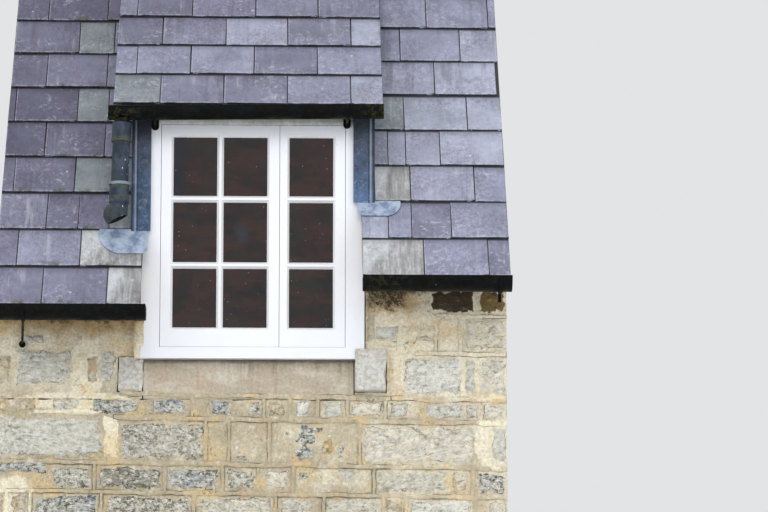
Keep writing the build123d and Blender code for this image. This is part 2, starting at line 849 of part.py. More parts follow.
nodes = {
    "wall_below_window": wall_below_window(),
    "wall_left": wall_left(),
    "wall_right": wall_right(),
    "stone_sill": stone_sill(),
    "jamb_stone_left": jamb_stone_left(),
    "jamb_stone_right": jamb_stone_right(),
    "wall_plates": [wall_plate("left"), wall_plate("right")],
    "window_board": window_board(),
    "frame_head": frame_head(),
    "frame_jamb_left": frame_jamb("left"),
    "frame_jamb_right": frame_jamb("right"),
    "frame_sill": frame_sill(),
    "frame_mullion": frame_mullion(),
    "sash_left": sash("left"),
    "sash_right": sash("right"),
    "glass_left": glass("left"),
    "glass_right": glass("right"),
    "corner_posts": corner_posts(),
    "head_beam": head_beam(),
    "top_trimmer": top_trimmer(),
    "dormer_rafters": dormer_rafters(),
    "dormer_roof_boards": dormer_roof_boards(),
    "dormer_slates": dormer_slates(),
    "cheek_left": cheek("left"),
    "cheek_right": cheek("right"),
    "cheek_lead_left": cheek_lead("left"),
    "cheek_lead_right": cheek_lead("right"),
    "lead_strip_left": lead_strip("left"),
    "lead_strip_right": lead_strip("right"),
    "lead_apron_left": lead_apron("left"),
    "lead_apron_right": lead_apron("right"),
    "main_rafters_left": main_rafters("left"),
    "main_rafters_right": main_rafters("right"),
    "main_roof_boards_left": main_roof_boards("left"),
    "main_roof_boards_right": main_roof_boards("right"),
    "main_slates_left": main_slates("left"),
    "main_slates_right": main_slates("right"),
    "dormer_gutter": dormer_gutter(),
    "dormer_gutter_brackets": dormer_gutter_brackets(),
    "downpipe": downpipe(),
    "downpipe_shoe": downpipe_shoe(),
    "downpipe_bracket": downpipe_bracket(),
    "main_gutter_left": main_gutter("left"),
    "main_gutter_right": main_gutter("right"),
    "main_gutter_irons": [main_gutter_stay(), main_gutter_bracket()],
}

os.makedirs("parts", exist_ok=True)
for name, shape in nodes.items():
    solids = shape if isinstance(shape, list) else [shape]
    children = [solid for item in solids for solid in item.solids()]
    piece = children[0] if len(children) == 1 else Compound(children=children)
    export_step(piece, f"parts/{name}.step")
    print(name, len(children), round(sum(solid.volume for solid in children)))
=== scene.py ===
"""Looks of a dormer window: its slates, stones, glazing bars, boards and finishes.

Metres, +Z up, +X to the right as seen from outside, +Y into the building.
"""

import json
import math
import random

import bmesh
import bpy
from bpy.props import FloatProperty, FloatVectorProperty, PointerProperty
from mathutils import Matrix, Vector

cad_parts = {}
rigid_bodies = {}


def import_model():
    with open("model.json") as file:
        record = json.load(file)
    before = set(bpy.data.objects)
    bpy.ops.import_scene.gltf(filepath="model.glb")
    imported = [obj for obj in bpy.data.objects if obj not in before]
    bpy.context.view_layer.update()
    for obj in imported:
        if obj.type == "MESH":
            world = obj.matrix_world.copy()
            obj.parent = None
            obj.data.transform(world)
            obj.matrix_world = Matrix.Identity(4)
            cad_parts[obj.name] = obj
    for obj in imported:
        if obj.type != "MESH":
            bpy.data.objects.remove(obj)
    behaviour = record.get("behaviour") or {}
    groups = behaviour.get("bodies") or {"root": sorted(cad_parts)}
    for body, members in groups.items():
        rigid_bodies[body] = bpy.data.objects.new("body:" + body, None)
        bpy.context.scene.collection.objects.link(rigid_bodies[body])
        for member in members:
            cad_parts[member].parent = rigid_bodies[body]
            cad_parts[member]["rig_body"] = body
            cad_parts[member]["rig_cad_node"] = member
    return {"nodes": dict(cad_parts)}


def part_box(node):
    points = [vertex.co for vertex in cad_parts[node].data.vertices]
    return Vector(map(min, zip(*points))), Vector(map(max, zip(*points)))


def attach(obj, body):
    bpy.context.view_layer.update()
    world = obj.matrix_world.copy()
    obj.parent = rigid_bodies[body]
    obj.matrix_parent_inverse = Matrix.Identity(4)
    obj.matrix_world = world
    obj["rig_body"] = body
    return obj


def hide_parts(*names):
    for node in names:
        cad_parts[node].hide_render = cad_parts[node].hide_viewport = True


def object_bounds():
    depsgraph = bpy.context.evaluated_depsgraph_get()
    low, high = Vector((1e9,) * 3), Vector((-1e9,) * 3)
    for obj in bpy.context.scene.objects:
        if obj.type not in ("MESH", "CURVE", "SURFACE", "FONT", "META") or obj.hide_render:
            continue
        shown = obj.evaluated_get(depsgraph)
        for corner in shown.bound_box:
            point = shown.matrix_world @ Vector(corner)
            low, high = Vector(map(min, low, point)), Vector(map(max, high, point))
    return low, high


bl_info = {
    "name": "Dormer window",
    "version": (1, 0, 0),
    "blender": (4, 5, 0),
    "location": "3D View > Sidebar > Dormer",
    "description": "Slates, stones, glazing bars, boards and finishes of a dormer window",
    "category": "Object",
}

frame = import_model()
cad_low, cad_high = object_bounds()
nodes = frame["nodes"]

MM = 0.001
TINY = 1e-5
BODY = "root"


def srgb(red, green, blue):
    """A colour as a screen shows it, 0 to 255, as the linear values of a shader."""
    parts = []
    for value in (red, green, blue):
        share = value / 255
        parts.append(share / 12.92 if share <= 0.04045 else ((share + 0.055) / 1.055) ** 2.4)
    return tuple(parts)


def length(title, about, value):
    return FloatProperty(name=title, description=about, default=value, min=0, unit="LENGTH", subtype="DISTANCE")


def angle(title, about, value):
    return FloatProperty(name=title, description=about, default=math.radians(value), unit="ROTATION", subtype="ANGLE")


def colour(title, about, red, green, blue):
    return FloatVectorProperty(
        name=title, description=about, default=srgb(red, green, blue), size=3, min=0, max=1, subtype="COLOR"
    )


class DormerSizes(bpy.types.PropertyGroup):
    """Sizes of the slates, the stones, the glazing bars and the boards."""

    main_pitch: angle("Main pitch", "Pitch of the main roof", 53.5)
    dormer_pitch: angle("Dormer pitch", "Pitch of the dormer's roof", 46)
    slate_width: length("Slate width", "Width of a whole slate with its joint", 0.257)
    slate_length: length("Slate length", "Length of a slate from tail to head", 0.450)
    slate_gauge: length("Slate gauge", "How much of each course shows", 0.216)
    slate_thickness: length("Slate thickness", "Thickness of one slate", 0.007)
    slate_joint: length("Slate joint", "Gap between two slates of a course", 0.003)
    stone_proud: length("Stone proud", "How far a stone's front stands before its edges", 0.010)
    stone_bed: length("Stone bed", "How deep the stones reach into the mortar", 0.07)
    stone_rim: length("Stone rim", "Width of the worn edge round a stone's front", 0.028)
    stone_relief: length("Stone relief", "Roughness of the stones' faces", 0.014)
    stone_grid: length("Stone grid", "Spacing of the stones' mesh", 0.013)
    course_dip: angle("Course dip", "How far the courses dip to the right", 0.7)
    mortar_relief: length("Mortar relief", "Roughness of the mortar's face", 0.016)
    mortar_grid: length("Mortar grid", "Spacing of the mortar's mesh", 0.020)
    bar_width: length("Bar width", "Width of a glazing bar between two panes", 0.028)
    putty_width: length("Putty width", "Width of the putty fillet round a pane", 0.009)
    board_width: length("Board width", "Width of one roof board", 0.150)
    board_gap: length("Board gap", "Gap between two roof boards", 0.003)


class DormerColours(bpy.types.PropertyGroup):
    """Colours of the finishes."""

    slate_soot: colour("Sooty slate", "The darkest slates", 99, 98, 120)
    slate_plum: colour("Plum slate", "Dark purple slates", 115, 114, 136)
    slate_mauve: colour("Mauve slate", "Purple slates", 131, 130, 153)
    slate_lavender: colour("Lavender slate", "Most of the main slates", 148, 150, 173)
    slate_lilac: colour("Lilac slate", "Paler blue slates", 160, 162, 183)
    slate_frost: colour("Frosty slate", "The palest blue slates", 170, 174, 194)
    slate_green: colour("Green slate", "The greenish grey slates", 136, 144, 150)
    slate_stained: colour("Stained slate", "Pale slates with grey stains that fan out", 200, 203, 206)
    lichen: colour("Lichen", "Pale lichen on the slates", 198, 201, 212)
    moss: colour("Moss", "Moss and algae", 74, 78, 40)
    mortar_cream: colour("Cream mortar", "Lime mortar where it is fresh", 242, 233, 208)
    mortar_tan: colour("Tan mortar", "Lime mortar where it is weathered", 188, 176, 150)
    sill_tan: colour("Sill stone", "The long stone under the window", 186, 174, 154)
    lead_blue: colour("Lead", "Weathered lead with its patina", 74, 100, 138)
    lead_pale: colour("Pale lead", "Freshly dressed lead", 178, 192, 214)
    paint_white: colour("White paint", "Paint on the window", 244, 246, 251)
    putty_white: colour("Putty", "Painted putty round the panes", 250, 251, 253)
    iron_black: colour("Iron paint", "Paint on the gutters", 3, 3, 4)
    pipe_blue: colour("Faded iron paint", "Faded paint on the pipe", 52, 63, 76)
    timber_brown: colour("Timber", "Bare sawn timber", 150, 118, 82)
    timber_dark: colour("Dark timber", "Grain and stains of the timber", 92, 68, 44)
    glass_brown: colour("Glass", "What the panes show of the dark room", 16, 11, 12)
    floor_pale: colour("Floor", "The floor and what lies behind the object", 224, 226, 228)


# Modelling helpers


def sizes():
    return bpy.context.scene.dormer_sizes


def colours():
    return bpy.context.scene.dormer_colours


def clear_selection():
    """Nothing is selected, so the next operator acts on what it adds."""
    if bpy.context.object and bpy.context.object.mode != "OBJECT":
        bpy.ops.object.mode_set(mode="OBJECT")
    bpy.ops.object.select_all(action="DESELECT")


def choose(*pieces):
    """Selects these pieces alone, the first of them active."""
    clear_selection()
    for piece in pieces:
        piece.select_set(True)
    bpy.context.view_layer.objects.active = pieces[0]


def open_mesh(piece, mode="FACE"):
    """Edit mode on one piece, with nothing of its mesh selected."""
    choose(piece)
    bpy.ops.object.mode_set(mode="EDIT")
    bpy.ops.mesh.select_mode(type=mode)
    bpy.ops.mesh.select_all(action="DESELECT")


def close_mesh():
    bpy.ops.object.mode_set(mode="OBJECT")


def pick(piece, kind, test):
    """Selects the vertices, edges or faces of the open mesh that pass the test, and nothing else."""
    bpy.ops.mesh.select_all(action="DESELECT")
    mesh = bmesh.from_edit_mesh(piece.data)
    for part in getattr(mesh, kind):
        if test(part):
            part.select_set(True)
    mesh.select_flush_mode()
    bmesh.update_edit_mesh(piece.data)


def start_block(name, low, high):
    """A cube between two corners, with its place in its mesh."""
    low, high = Vector(low), Vector(high)
    clear_selection()
    bpy.ops.mesh.primitive_cube_add(size=1, location=(low + high) / 2, scale=high - low)
    piece = bpy.context.object
    piece.name = name
    piece.data.name = name
    bpy.ops.object.transform_apply(location=True, rotation=True, scale=True)
    return piece


def copy_node(name, node):
    """A piece that starts from a CAD node's shape, with its triangles joined to faces."""
    source = nodes[node]
    piece = source.copy()
    piece.data = source.data.copy()
    piece.name = name
    piece.data.name = name
    piece.parent = None
    piece.hide_render = False
    piece.hide_viewport = False
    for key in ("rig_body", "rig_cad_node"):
        if key in piece:
            del piece[key]
    bpy.context.scene.collection.objects.link(piece)
    piece.data.materials.clear()
    open_mesh(piece, "VERT")
    bpy.ops.mesh.select_all(action="SELECT")
    bpy.ops.mesh.remove_doubles(threshold=TINY)
    bpy.ops.mesh.dissolve_limited(angle_limit=math.radians(1))
    close_mesh()
    return piece


def slice_mesh(piece, axis, places):
    """Adds an edge loop round the whole piece at each place along an axis."""
    normal = [0.0, 0.0, 0.0]
    normal[axis] = 1.0
    open_mesh(piece, "VERT")
    for place in places:
        point = [0.0, 0.0, 0.0]
        point[axis] = place
        bpy.ops.mesh.select_all(action="SELECT")
        bpy.ops.mesh.bisect(plane_co=point, plane_no=normal)
    close_mesh()


def steps(start, end, spacing):
    """Evenly spaced places between two ends, without the ends."""
    count = max(1, round((end - start) / spacing))
    return [start + (end - start) * number / count for number in range(1, count)]


def apply_modifier(piece, kind, **values):
    """Adds a modifier, sets it and applies it."""
    choose(piece)
    modifier = piece.modifiers.new(kind.title(), kind)
    for key, value in values.items():
        setattr(modifier, key, value)
    bpy.ops.object.modifier_apply(modifier=modifier.name)


def roughen(piece, pattern, strength, middle=0.5, size=0.08, depth=3, where=None, direction="NORMAL"):
    """Pushes the surface in and out by a cloudy pattern, within a group of vertices where one is given."""
    clouds = bpy.data.textures.new(pattern, "CLOUDS")
    clouds.noise_scale = size
    clouds.noise_depth = depth
    settings = {
        "texture": clouds, "texture_coords": "LOCAL", "strength": strength, "mid_level": middle,
        "direction": direction,
    }
    if where:
        group = piece.vertex_groups.new(name=pattern)
        inside = [vertex.index for vertex in piece.data.vertices if where(vertex.co)]
        group.add(inside, 1.0, "REPLACE")
        settings["vertex_group"] = group.name
    apply_modifier(piece, "DISPLACE", **settings)
    piece.vertex_groups.clear()


def smooth(piece, limit=40):
    choose(piece)
    bpy.ops.object.shade_smooth_by_angle(angle=math.radians(limit))


def set_tone(mesh, value):
    """Gives every face of a mesh the same tone, which its material reads."""
    tone = mesh.attributes.get("tone") or mesh.attributes.new("tone", "FLOAT", "FACE")
    tone.data.foreach_set("value", [value] * len(mesh.polygons))


def copy_shape(source, matrix, tone):
    """A copy of a modelled shape with a mesh of its own, put in its place."""
    piece = source.copy()
    piece.data = source.data.copy()
    piece.data.transform(matrix)
    set_tone(piece.data, tone)
    bpy.context.scene.collection.objects.link(piece)
    return piece


def join(name, pieces):
    """Joins pieces into one."""
    choose(*pieces)
    bpy.ops.object.join()
    piece = bpy.context.object
    piece.name = name
    piece.data.name = name
    return piece


def remove(pieces):
    for piece in pieces:
        bpy.data.objects.remove(piece)


def finish_piece(piece, material, slot, *replaced):
    """Gives a piece its material and its body, and hides the CAD nodes that it stands for."""
    piece.data.materials.clear()
    piece.data.materials.append(material)
    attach(piece, BODY)
    if replaced:
        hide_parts(*replaced)


def bevel_edges(piece, chosen, offset, segments):
    """Rounds the edges that a test chooses."""
    open_mesh(piece, "EDGE")
    pick(piece, "edges", chosen)
    bpy.ops.mesh.bevel(offset=offset, segments=segments, affect="EDGES")
    close_mesh()


def paint_nodes(material, *names):
    """Gives CAD nodes a material in place of their plain one."""
    for name in names:
        slots = nodes[name].data.materials
        if len(slots):
            slots[0] = material
        else:
            slots.append(material)


# Shader helpers


def opaque(tint):
    """A colour with full alpha, or a socket as it is."""
    return tint if isinstance(tint, bpy.types.NodeSocket) else (*tint[:3], 1.0)


class Shading:
    """A shader tree, with a short method for each kind of node that the finishes use."""

    def __init__(self, tree):
        self.tree = tree

    def give(self, socket, value):
        """Links another socket to this one, or sets its value."""
        if isinstance(value, bpy.types.NodeSocket):
            self.tree.links.new(value, socket)
        else:
            socket.default_value = value

    def node(self, kind, values=None, **settings):
        """Adds a node, sets it, and gives its inputs their links and values."""
        made = self.tree.nodes.new(f"ShaderNode{kind}")
        for key, value in settings.items():
            setattr(made, key, value)
        for key, value in (values or {}).items():
            self.give(made.inputs[key], value)
        return made

    def maths(self, operation, *values):
        return self.node("Math", dict(enumerate(values)), operation=operation).outputs[0]

    def times(self, *values):
        result = values[0]
        for value in values[1:]:
            result = self.maths("MULTIPLY", result, value)
        return result

    def plus(self, first, second):
        return self.maths("ADD", first, second)

    def minus(self, first, second):
        return self.maths("SUBTRACT", first, second)

    def larger(self, first, second):
        return self.maths("MAXIMUM", first, second)

    def apart(self, value, middle):
        return self.maths("ABSOLUTE", self.minus(value, middle))

    def step(self, value, low, high):
        """0 below low and 1 above high, with a soft step; the other way round where low is the higher."""
        values = {"Value": value, "From Min": low, "From Max": high}
        return self.node("MapRange", values, interpolation_type="SMOOTHSTEP").outputs["Result"]

    def mix(self, share, first, second, mode="MIX"):
        values = {0: share, 6: opaque(first), 7: opaque(second)}
        return self.node("Mix", values, data_type="RGBA", blend_type=mode).outputs[2]

    def over(self, base, tint, *shares):
        """A colour laid over another, as strongly as the product of the shares."""
        return self.mix(self.times(*shares), base, tint)

    def shade_by(self, base, value, low, high, dark, light):
        """Darkens and lightens a colour as a value goes from low to high."""
        values = {"Value": value, "From Min": low, "From Max": high, "To Min": dark, "To Max": light}
        return self.mix(1.0, base, self.node("MapRange", values).outputs["Result"], "MULTIPLY")

    def ramp(self, value, stops):
        """A colour ramp through places and colours."""
        made = self.node("ValToRGB", {"Fac": value})
        points = made.color_ramp.elements
        while len(points) < len(stops):
            points.new(1.0)
        for point, (place, tint) in zip(points, stops):
            point.position = place
            point.color = opaque(tint)
        return made.outputs["Color"]

    def noise(self, vector, scale, detail=4.0, roughness=0.55, distortion=0.0):
        values = {"Scale": scale, "Detail": detail, "Roughness": roughness, "Distortion": distortion}
        return self.node("TexNoise", {"Vector": vector, **values}).outputs["Fac"]

    def wander(self, vector, scale, detail, roughness, reach):
        """Noise round zero, up to half its reach to either side."""
        return self.times(self.minus(self.noise(vector, scale, detail, roughness), 0.5), reach)

    def cells(self, vector, scale):
        return self.node("TexVoronoi", {"Vector": vector, "Scale": scale}).outputs["Distance"]

    def vector(self, operation, values, output="Vector"):
        return self.node("VectorMath", values, operation=operation).outputs[output]

    def turned(self, vector, **moves):
        """A vector after its rotation, scale or location."""
        values = {key.title(): value for key, value in moves.items()}
        return self.node("Mapping", {"Vector": vector, **values}).outputs["Vector"]

    def split(self, vector):
        return self.node("SeparateXYZ", {"Vector": vector}).outputs

    def attribute(self, name):
        return self.node("Attribute", attribute_name=name, attribute_type="GEOMETRY").outputs["Fac"]

    def group(self, name, vector, **values):
        """The outputs of a node group, whose inputs are named here in small letters."""
        values = {key.title(): value for key, value in values.items()}
        tree = bpy.data.node_groups[name]
        return self.node("Group", {"Vector": vector, **values}, node_tree=tree).outputs

    def patches(self, vector, scale, low=0.45, high=0.6, ragged=0.6):
        return self.group("patches", vector, scale=scale, low=low, high=high, ragged=ragged)["Mask"]

    def speckle(self, vector, scale, size, share):
        return self.group("speckle", vector, scale=scale, size=size, share=share)["Mask"]

    def streaks(self, vector, scale, low=0.5, high=0.7):
        return self.group("streaks", vector, scale=scale, low=low, high=high)["Mask"]


class Finish(Shading):
    """A new material, with its shader and the coordinates of the object."""

    def __init__(self, name):
        self.material = bpy.data.materials.new(name)
        self.material.use_nodes = True
        super().__init__(self.material.node_tree)
        self.tree.nodes.clear()
        self.shader = self.node("BsdfPrincipled")
        self.output = self.node("OutputMaterial", {"Surface": self.shader.outputs["BSDF"]})
        self.place = self.node("TexCoord").outputs["Object"]

    def upright(self):
        """The object's coordinates with Y up, along which the streaks run."""
        return self.turned(self.place, rotation=(math.radians(-90), 0, 0))

    # How fresh the mortar is, with painted light that makes it paler on the right and high up.
    def renewal(self, fresh):
        return self.group("renewal", self.place, fresh=fresh)["Fresh"]

    # The wall's stains, with painted shadow right under the gutters.
    def stained(self, base):
        return self.group("wall_stains", self.place, color=base)["Color"]

    def dress(self, base, roughness, relief=None, others=None):
        """Gives the shader its colour, roughness, bump and other inputs, and returns the material."""
        values = {"Base Color": base, "Roughness": roughness, **(others or {})}
        if relief:
            bump = dict(zip(("Height", "Distance", "Strength"), relief))
            values["Normal"] = self.node("Bump", bump).outputs["Normal"]
        for key, value in values.items():
            self.give(self.shader.inputs[key], value)
        return self.material


def new_group(name, inputs, outputs):
    """An empty node group: a vector and other inputs with their defaults, and outputs."""
    tree = bpy.data.node_groups.new(name, "ShaderNodeTree")
    tree.interface.new_socket(name="Vector", in_out="INPUT", socket_type="NodeSocketVector")
    kinds = {"Color": "NodeSocketColor"}
    for title, default in inputs.items():
        kind = kinds.get(title, "NodeSocketFloat")
        tree.interface.new_socket(name=title, in_out="INPUT", socket_type=kind).default_value = default
    for title in outputs:
        kind = kinds.get(title, "NodeSocketFloat")
        tree.interface.new_socket(name=title, in_out="OUTPUT", socket_type=kind)
    given = tree.nodes.new("NodeGroupInput").outputs
    return Shading(tree), given, tree.nodes.new("NodeGroupOutput").inputs


def build_patches():
    """Soft uneven patches, for stains, worn paint and different stone."""
    tree, given, out = new_group("patches", {"Scale": 5.0, "Low": 0.45, "High": 0.6, "Ragged": 0.6}, ("Mask",))
    cloud = tree.noise(given["Vector"], given["Scale"], 6.0, given["Ragged"])
    tree.give(out["Mask"], tree.step(cloud, given["Low"], given["High"]))


def build_speckle():
    """Small round spots of uneven size, for lichen, droppings and grit."""
    tree, given, out = new_group("speckle", {"Scale": 100.0, "Size": 0.2, "Share": 0.5}, ("Mask",))
    spots = tree.node("TexVoronoi", {"Vector": given["Vector"], "Scale": given["Scale"]}).outputs
    chance = tree.node("SeparateColor", {"Color": spots["Color"]}).outputs
    size = tree.times(given["Size"], chance[0])
    inside = tree.step(spots["Distance"], size, tree.times(size, 0.6))
    kept = tree.maths("LESS_THAN", chance[1], given["Share"])
    tree.give(out["Mask"], tree.times(inside, kept))


def build_streaks():
    """Runs of water down a surface, along the vector's Y."""
    tree, given, out = new_group("streaks", {"Scale": 30.0, "Low": 0.5, "High": 0.7}, ("Mask",))
    drawn = tree.turned(given["Vector"], scale=(1, 0.06, 1))
    fine = tree.noise(drawn, given["Scale"], 5.0, 0.65)
    both = tree.plus(fine, tree.wander(given["Vector"], 6.0, 3.0, 0.55, 0.5))
    tree.give(out["Mask"], tree.step(both, given["Low"], given["High"]))


def build_grain():
    """Sawn timber along the vector's X: rings, fibres and a height for bump."""
    tree, given, out = new_group("grain", {"Scale": 1.0}, ("Rings", "Fibres", "Height"))
    scaled = tree.vector("SCALE", {0: given["Vector"], 3: given["Scale"]})
    rings = tree.step(tree.noise(tree.turned(scaled, scale=(0.6, 14, 14)), 2.2, 5.0, 0.6, 1.4), 0.38, 0.66)
    fibres = tree.noise(tree.turned(scaled, scale=(2.5, 60, 60)), 5.0, 3.0)
    tree.give(out["Rings"], rings)
    tree.give(out["Fibres"], fibres)
    tree.give(out["Height"], tree.plus(tree.times(rings, 0.5), fibres))


def build_lime():
    """Lime mortar: cream where its Fresh input is high, which carries fresh mortar and painted light, tan where it is
    old, grey where it is wet, sandy and hair-cracked.
    """
    tint = colours()
    tree, given, out = new_group("lime", {"Fresh": 0.0}, ("Color", "Height"))
    place = given["Vector"]
    broad = tree.wander(place, 6.0, 5.0, 0.65, 1.3)
    fresh = tree.step(tree.plus(given["Fresh"], broad), 0.0, 0.8)
    base = tree.mix(fresh, tint.mortar_tan, tint.mortar_cream)
    grey = tree.step(tree.plus(given["Fresh"], tree.times(broad, 0.5)), -0.25, -0.55)
    base = tree.over(base, srgb(172, 168, 154), grey)
    for shift, scale, low, share, tone in (
        ((0, 0, 0), 8.0, 0.52, 0.50, (230, 200, 142)), ((3, 8, 1), 24.0, 0.55, 0.45, (244, 238, 220)),
        ((9, 2, 4), 13.0, 0.62, 0.50, (170, 182, 192)), ((5, 5, 7), 7.0, 0.54, 0.30, (214, 182, 156)),
        ((1, 6, 8), 38.0, 0.58, 0.40, (140, 128, 98)),
    ):
        patch = tree.patches(tree.turned(place, location=shift), scale, low, low + 0.12, 0.65)
        base = tree.over(base, srgb(*tone), patch, share)
    grain = tree.noise(place, 90.0, 6.0, 0.7)
    base = tree.shade_by(base, grain, 0.36, 0.64, 0.80, 1.18)
    base = tree.over(base, srgb(112, 100, 74), tree.speckle(place, 95.0, 0.34, 0.18), 0.50)
    level = tree.apart(tree.noise(place, 5.5, 4.0, 0.55), 0.5)
    crack = tree.times(tree.step(level, 0.006, 0.002), tree.patches(place, 7.0, 0.56, 0.62))
    height = tree.plus(tree.noise(place, 30.0, 5.0), tree.times(grain, 0.8))
    tree.give(out["Color"], tree.over(base, srgb(92, 80, 56), crack, 0.60))
    tree.give(out["Height"], tree.minus(height, tree.times(crack, 0.6)))


def build_groups():
    build_patches()
    build_speckle()
    build_streaks()
    build_grain()
    build_lime()
    build_renewal_and_painted_light()
    build_wall_stains_and_shadow()


# Finishes

SLATE_TONES = {
    "soot": 0.0, "plum": 0.14, "mauve": 0.28, "lavender": 0.42, "lilac": 0.56, "frost": 0.70, "green": 0.85,
    "stained": 1.0,
}
# The tone of each kind of stone, and its colour. The black kind is a brown stone darkened by painted shadow, where it
# lies right under the right gutter.
STONE_KINDS = {
    "black": (0.0, 78, 66, 46), "dark": (0.1, 184, 180, 162), "blue": (0.2, 214, 216, 206),
    "grey": (0.3, 226, 222, 204), "rough": (0.4, 220, 215, 196), "pale": (0.5, 240, 234, 212),
    "silver": (0.56, 234, 231, 216), "white": (0.62, 255, 253, 240), "smooth": (0.66, 234, 232, 216),
    "cream": (0.7, 252, 244, 222), "patched": (0.78, 255, 246, 218), "ochre": (0.84, 218, 190, 132),
    "tan": (0.9, 224, 206, 170), "gold": (0.95, 232, 210, 164), "brown": (1.0, 132, 112, 70),
}
STONE_TONES = {kind: values[0] for kind, values in STONE_KINDS.items()}
# Middle and half size, across and up, of the places where the mortar was renewed last.
FRESH_PLACES = (
    (-0.67, 0.66, 0.07, 0.12), (-0.72, 0.53, 0.24, 0.035), (0.63, 0.85, 0.12, 0.09), (0.53, 0.72, 0.12, 0.06),
    (0.98, 0.38, 0.08, 0.12), (-0.95, 0.13, 0.08, 0.10), (0.95, 0.60, 0.12, 0.06),
)


def slate_material(name, pitch, darkening, mossy):
    """Riven slate: one tone a slate, mottled with lichen, streaked, with painted shade along its tail, at its sides
    and under the next course.
    """
    tint, gauge, wide = colours(), sizes().slate_gauge, sizes().slate_width
    tree = Finish(name)
    tone = tree.attribute("tone")
    luck = tree.node("TexWhiteNoise", {"W": tone}, noise_dimensions="1D").outputs["Color"]
    chance = tree.node("SeparateColor", {"Color": luck}).outputs
    across, up, _ = tree.split(tree.node("UVMap", uv_map="slate").outputs["UV"])
    along = tree.turned(tree.place, rotation=(-pitch, 0, 0))
    local = tree.vector("ADD", {0: along, 1: tree.vector("SCALE", {0: luck, 3: 9.0})})
    base = tree.ramp(tone, [(stop, getattr(tint, f"slate_{kind}")) for kind, stop in SLATE_TONES.items()])
    base = tree.shade_by(base, tree.noise(local, 7.0, 4.0, 0.6), 0.33, 0.67, 0.80, 1.14)
    warm = tree.mix(1.0, base, (1.0, 0.90, 0.93), "MULTIPLY")
    base = tree.over(base, warm, tree.patches(local, 5.0, 0.46, 0.66), 0.30)
    slant = tree.plus(tree.minus(across, tree.times(up, 0.55)), tree.wander(local, 14.0, 5.0, 0.7, 0.14))
    fan = tree.times(tree.step(slant, -0.01, 0.05), tree.step(tone, 0.93, 0.97))
    combed = tree.noise(tree.turned(local, scale=(1, 0.12, 1)), 60.0, 4.0, 0.6)
    base = tree.over(base, srgb(132, 130, 128), fan, tree.step(combed, 0.22, 0.60), 0.80)
    grain = tree.noise(tree.turned(local, scale=(1, 0.7, 1)), 62.0, 8.0, 0.85)
    harsh = tree.plus(0.35, tree.times(tree.step(tree.noise(local, 5.0, 3.0), 0.40, 0.62), 0.65))
    base = tree.over(base, tree.shade_by(base, grain, 0.36, 0.64, 0.56, 1.34), harsh)
    some = tree.step(tree.noise(tree.turned(local, location=(4, 1, 2)), 6.0, 3.0), 0.46, 0.62)
    crust = tree.times(tree.patches(local, 46.0, 0.52, 0.62, 0.75), some)
    base = tree.over(base, tint.lichen, crust, 0.55)
    base = tree.over(base, srgb(66, 64, 84), tree.speckle(local, 130.0, 0.42, 0.22), harsh, 0.5)
    base = tree.over(base, tint.lichen, tree.streaks(local, 40.0, 0.55, 0.78), chance[1], 0.45)
    soot = tree.streaks(tree.turned(local, location=(5, 2, 1)), 26.0)
    base = tree.over(base, srgb(78, 76, 92), soot, chance[2], 0.50)
    base = tree.over(base, srgb(214, 217, 218), tree.speckle(local, 22.0, 0.20, 0.20), 0.6)
    base = tree.over(base, tint.lichen, tree.step(up, 0.014, 0.003), tree.step(grain, 0.46, 0.54), 0.40)
    # Painted highlight: a pale line along each slate's left edge.
    base = tree.over(base, tint.lichen, tree.step(across, 0.006, 0.0035), tree.step(grain, 0.42, 0.5), 0.45)
    growth = tree.patches(local, 16.0, 0.60 - mossy, 0.74 - mossy)
    base = tree.over(base, tint.moss, growth, tree.step(up, 0.035, 0.0), 0.70)
    # Painted shade: a dark band under the next course's tail, the dark tail face, and dark sides at the joints.
    broad = tree.times(tree.step(up, gauge - 0.05, gauge), 0.30)
    close = tree.step(tree.plus(up, tree.times(grain, 0.010)), gauge - 0.012, gauge + 0.002)
    under = tree.larger(broad, tree.times(close, 0.94))
    tail = tree.times(tree.step(up, 0.0016, 0.0003), 0.90)
    sides = tree.larger(tree.step(across, 0.003, 0.0), tree.step(across, wide - 0.006, wide - 0.003))
    shade = tree.larger(under, tree.larger(tail, tree.times(sides, 0.75)))
    base = tree.over(base, (0.012, 0.012, 0.014), shade)
    base = tree.mix(1.0, base, (darkening, darkening, darkening), "MULTIPLY")
    layers = tree.noise(tree.turned(local, scale=(1, 0.5, 1)), 18.0, 6.0, 0.6, 0.6)
    height = tree.plus(layers, tree.times(grain, 0.35))
    roughness = tree.plus(0.50, tree.times(crust, 0.25))
    return tree.dress(base, roughness, (height, 0.004, 0.7), {"Specular IOR Level": 0.35})


def build_renewal_and_painted_light():
    """How fresh the mortar looks: paler where it was renewed, and painted light that makes it paler on the right of
    the window and high up.
    """
    tree, given, out = new_group("renewal", {"Fresh": 0.0}, ("Fresh",))
    place = given["Vector"]
    across, _, height = tree.split(place)
    # Painted light: paler on the right of the window and high up.
    right = tree.times(tree.step(across, 0.25, 0.60), 0.25)
    high = tree.times(tree.step(height, 0.50, 0.70), 0.35)
    ragged = tree.wander(place, 22.0, 5.0, 0.65, 1.2)
    renewed = 0.0
    for x, z, wide, tall in FRESH_PLACES:
        near = tree.turned(place, location=(-x / wide, 0, -z / tall), scale=(1 / wide, 0, 1 / tall))
        far = tree.vector("LENGTH", {0: near}, "Value")
        renewed = tree.larger(renewed, tree.step(tree.plus(far, ragged), 1.15, 0.80))
    fresh = tree.plus(given["Fresh"], tree.times(renewed, 0.65))
    tree.give(out["Fresh"], tree.plus(fresh, tree.plus(right, high)))


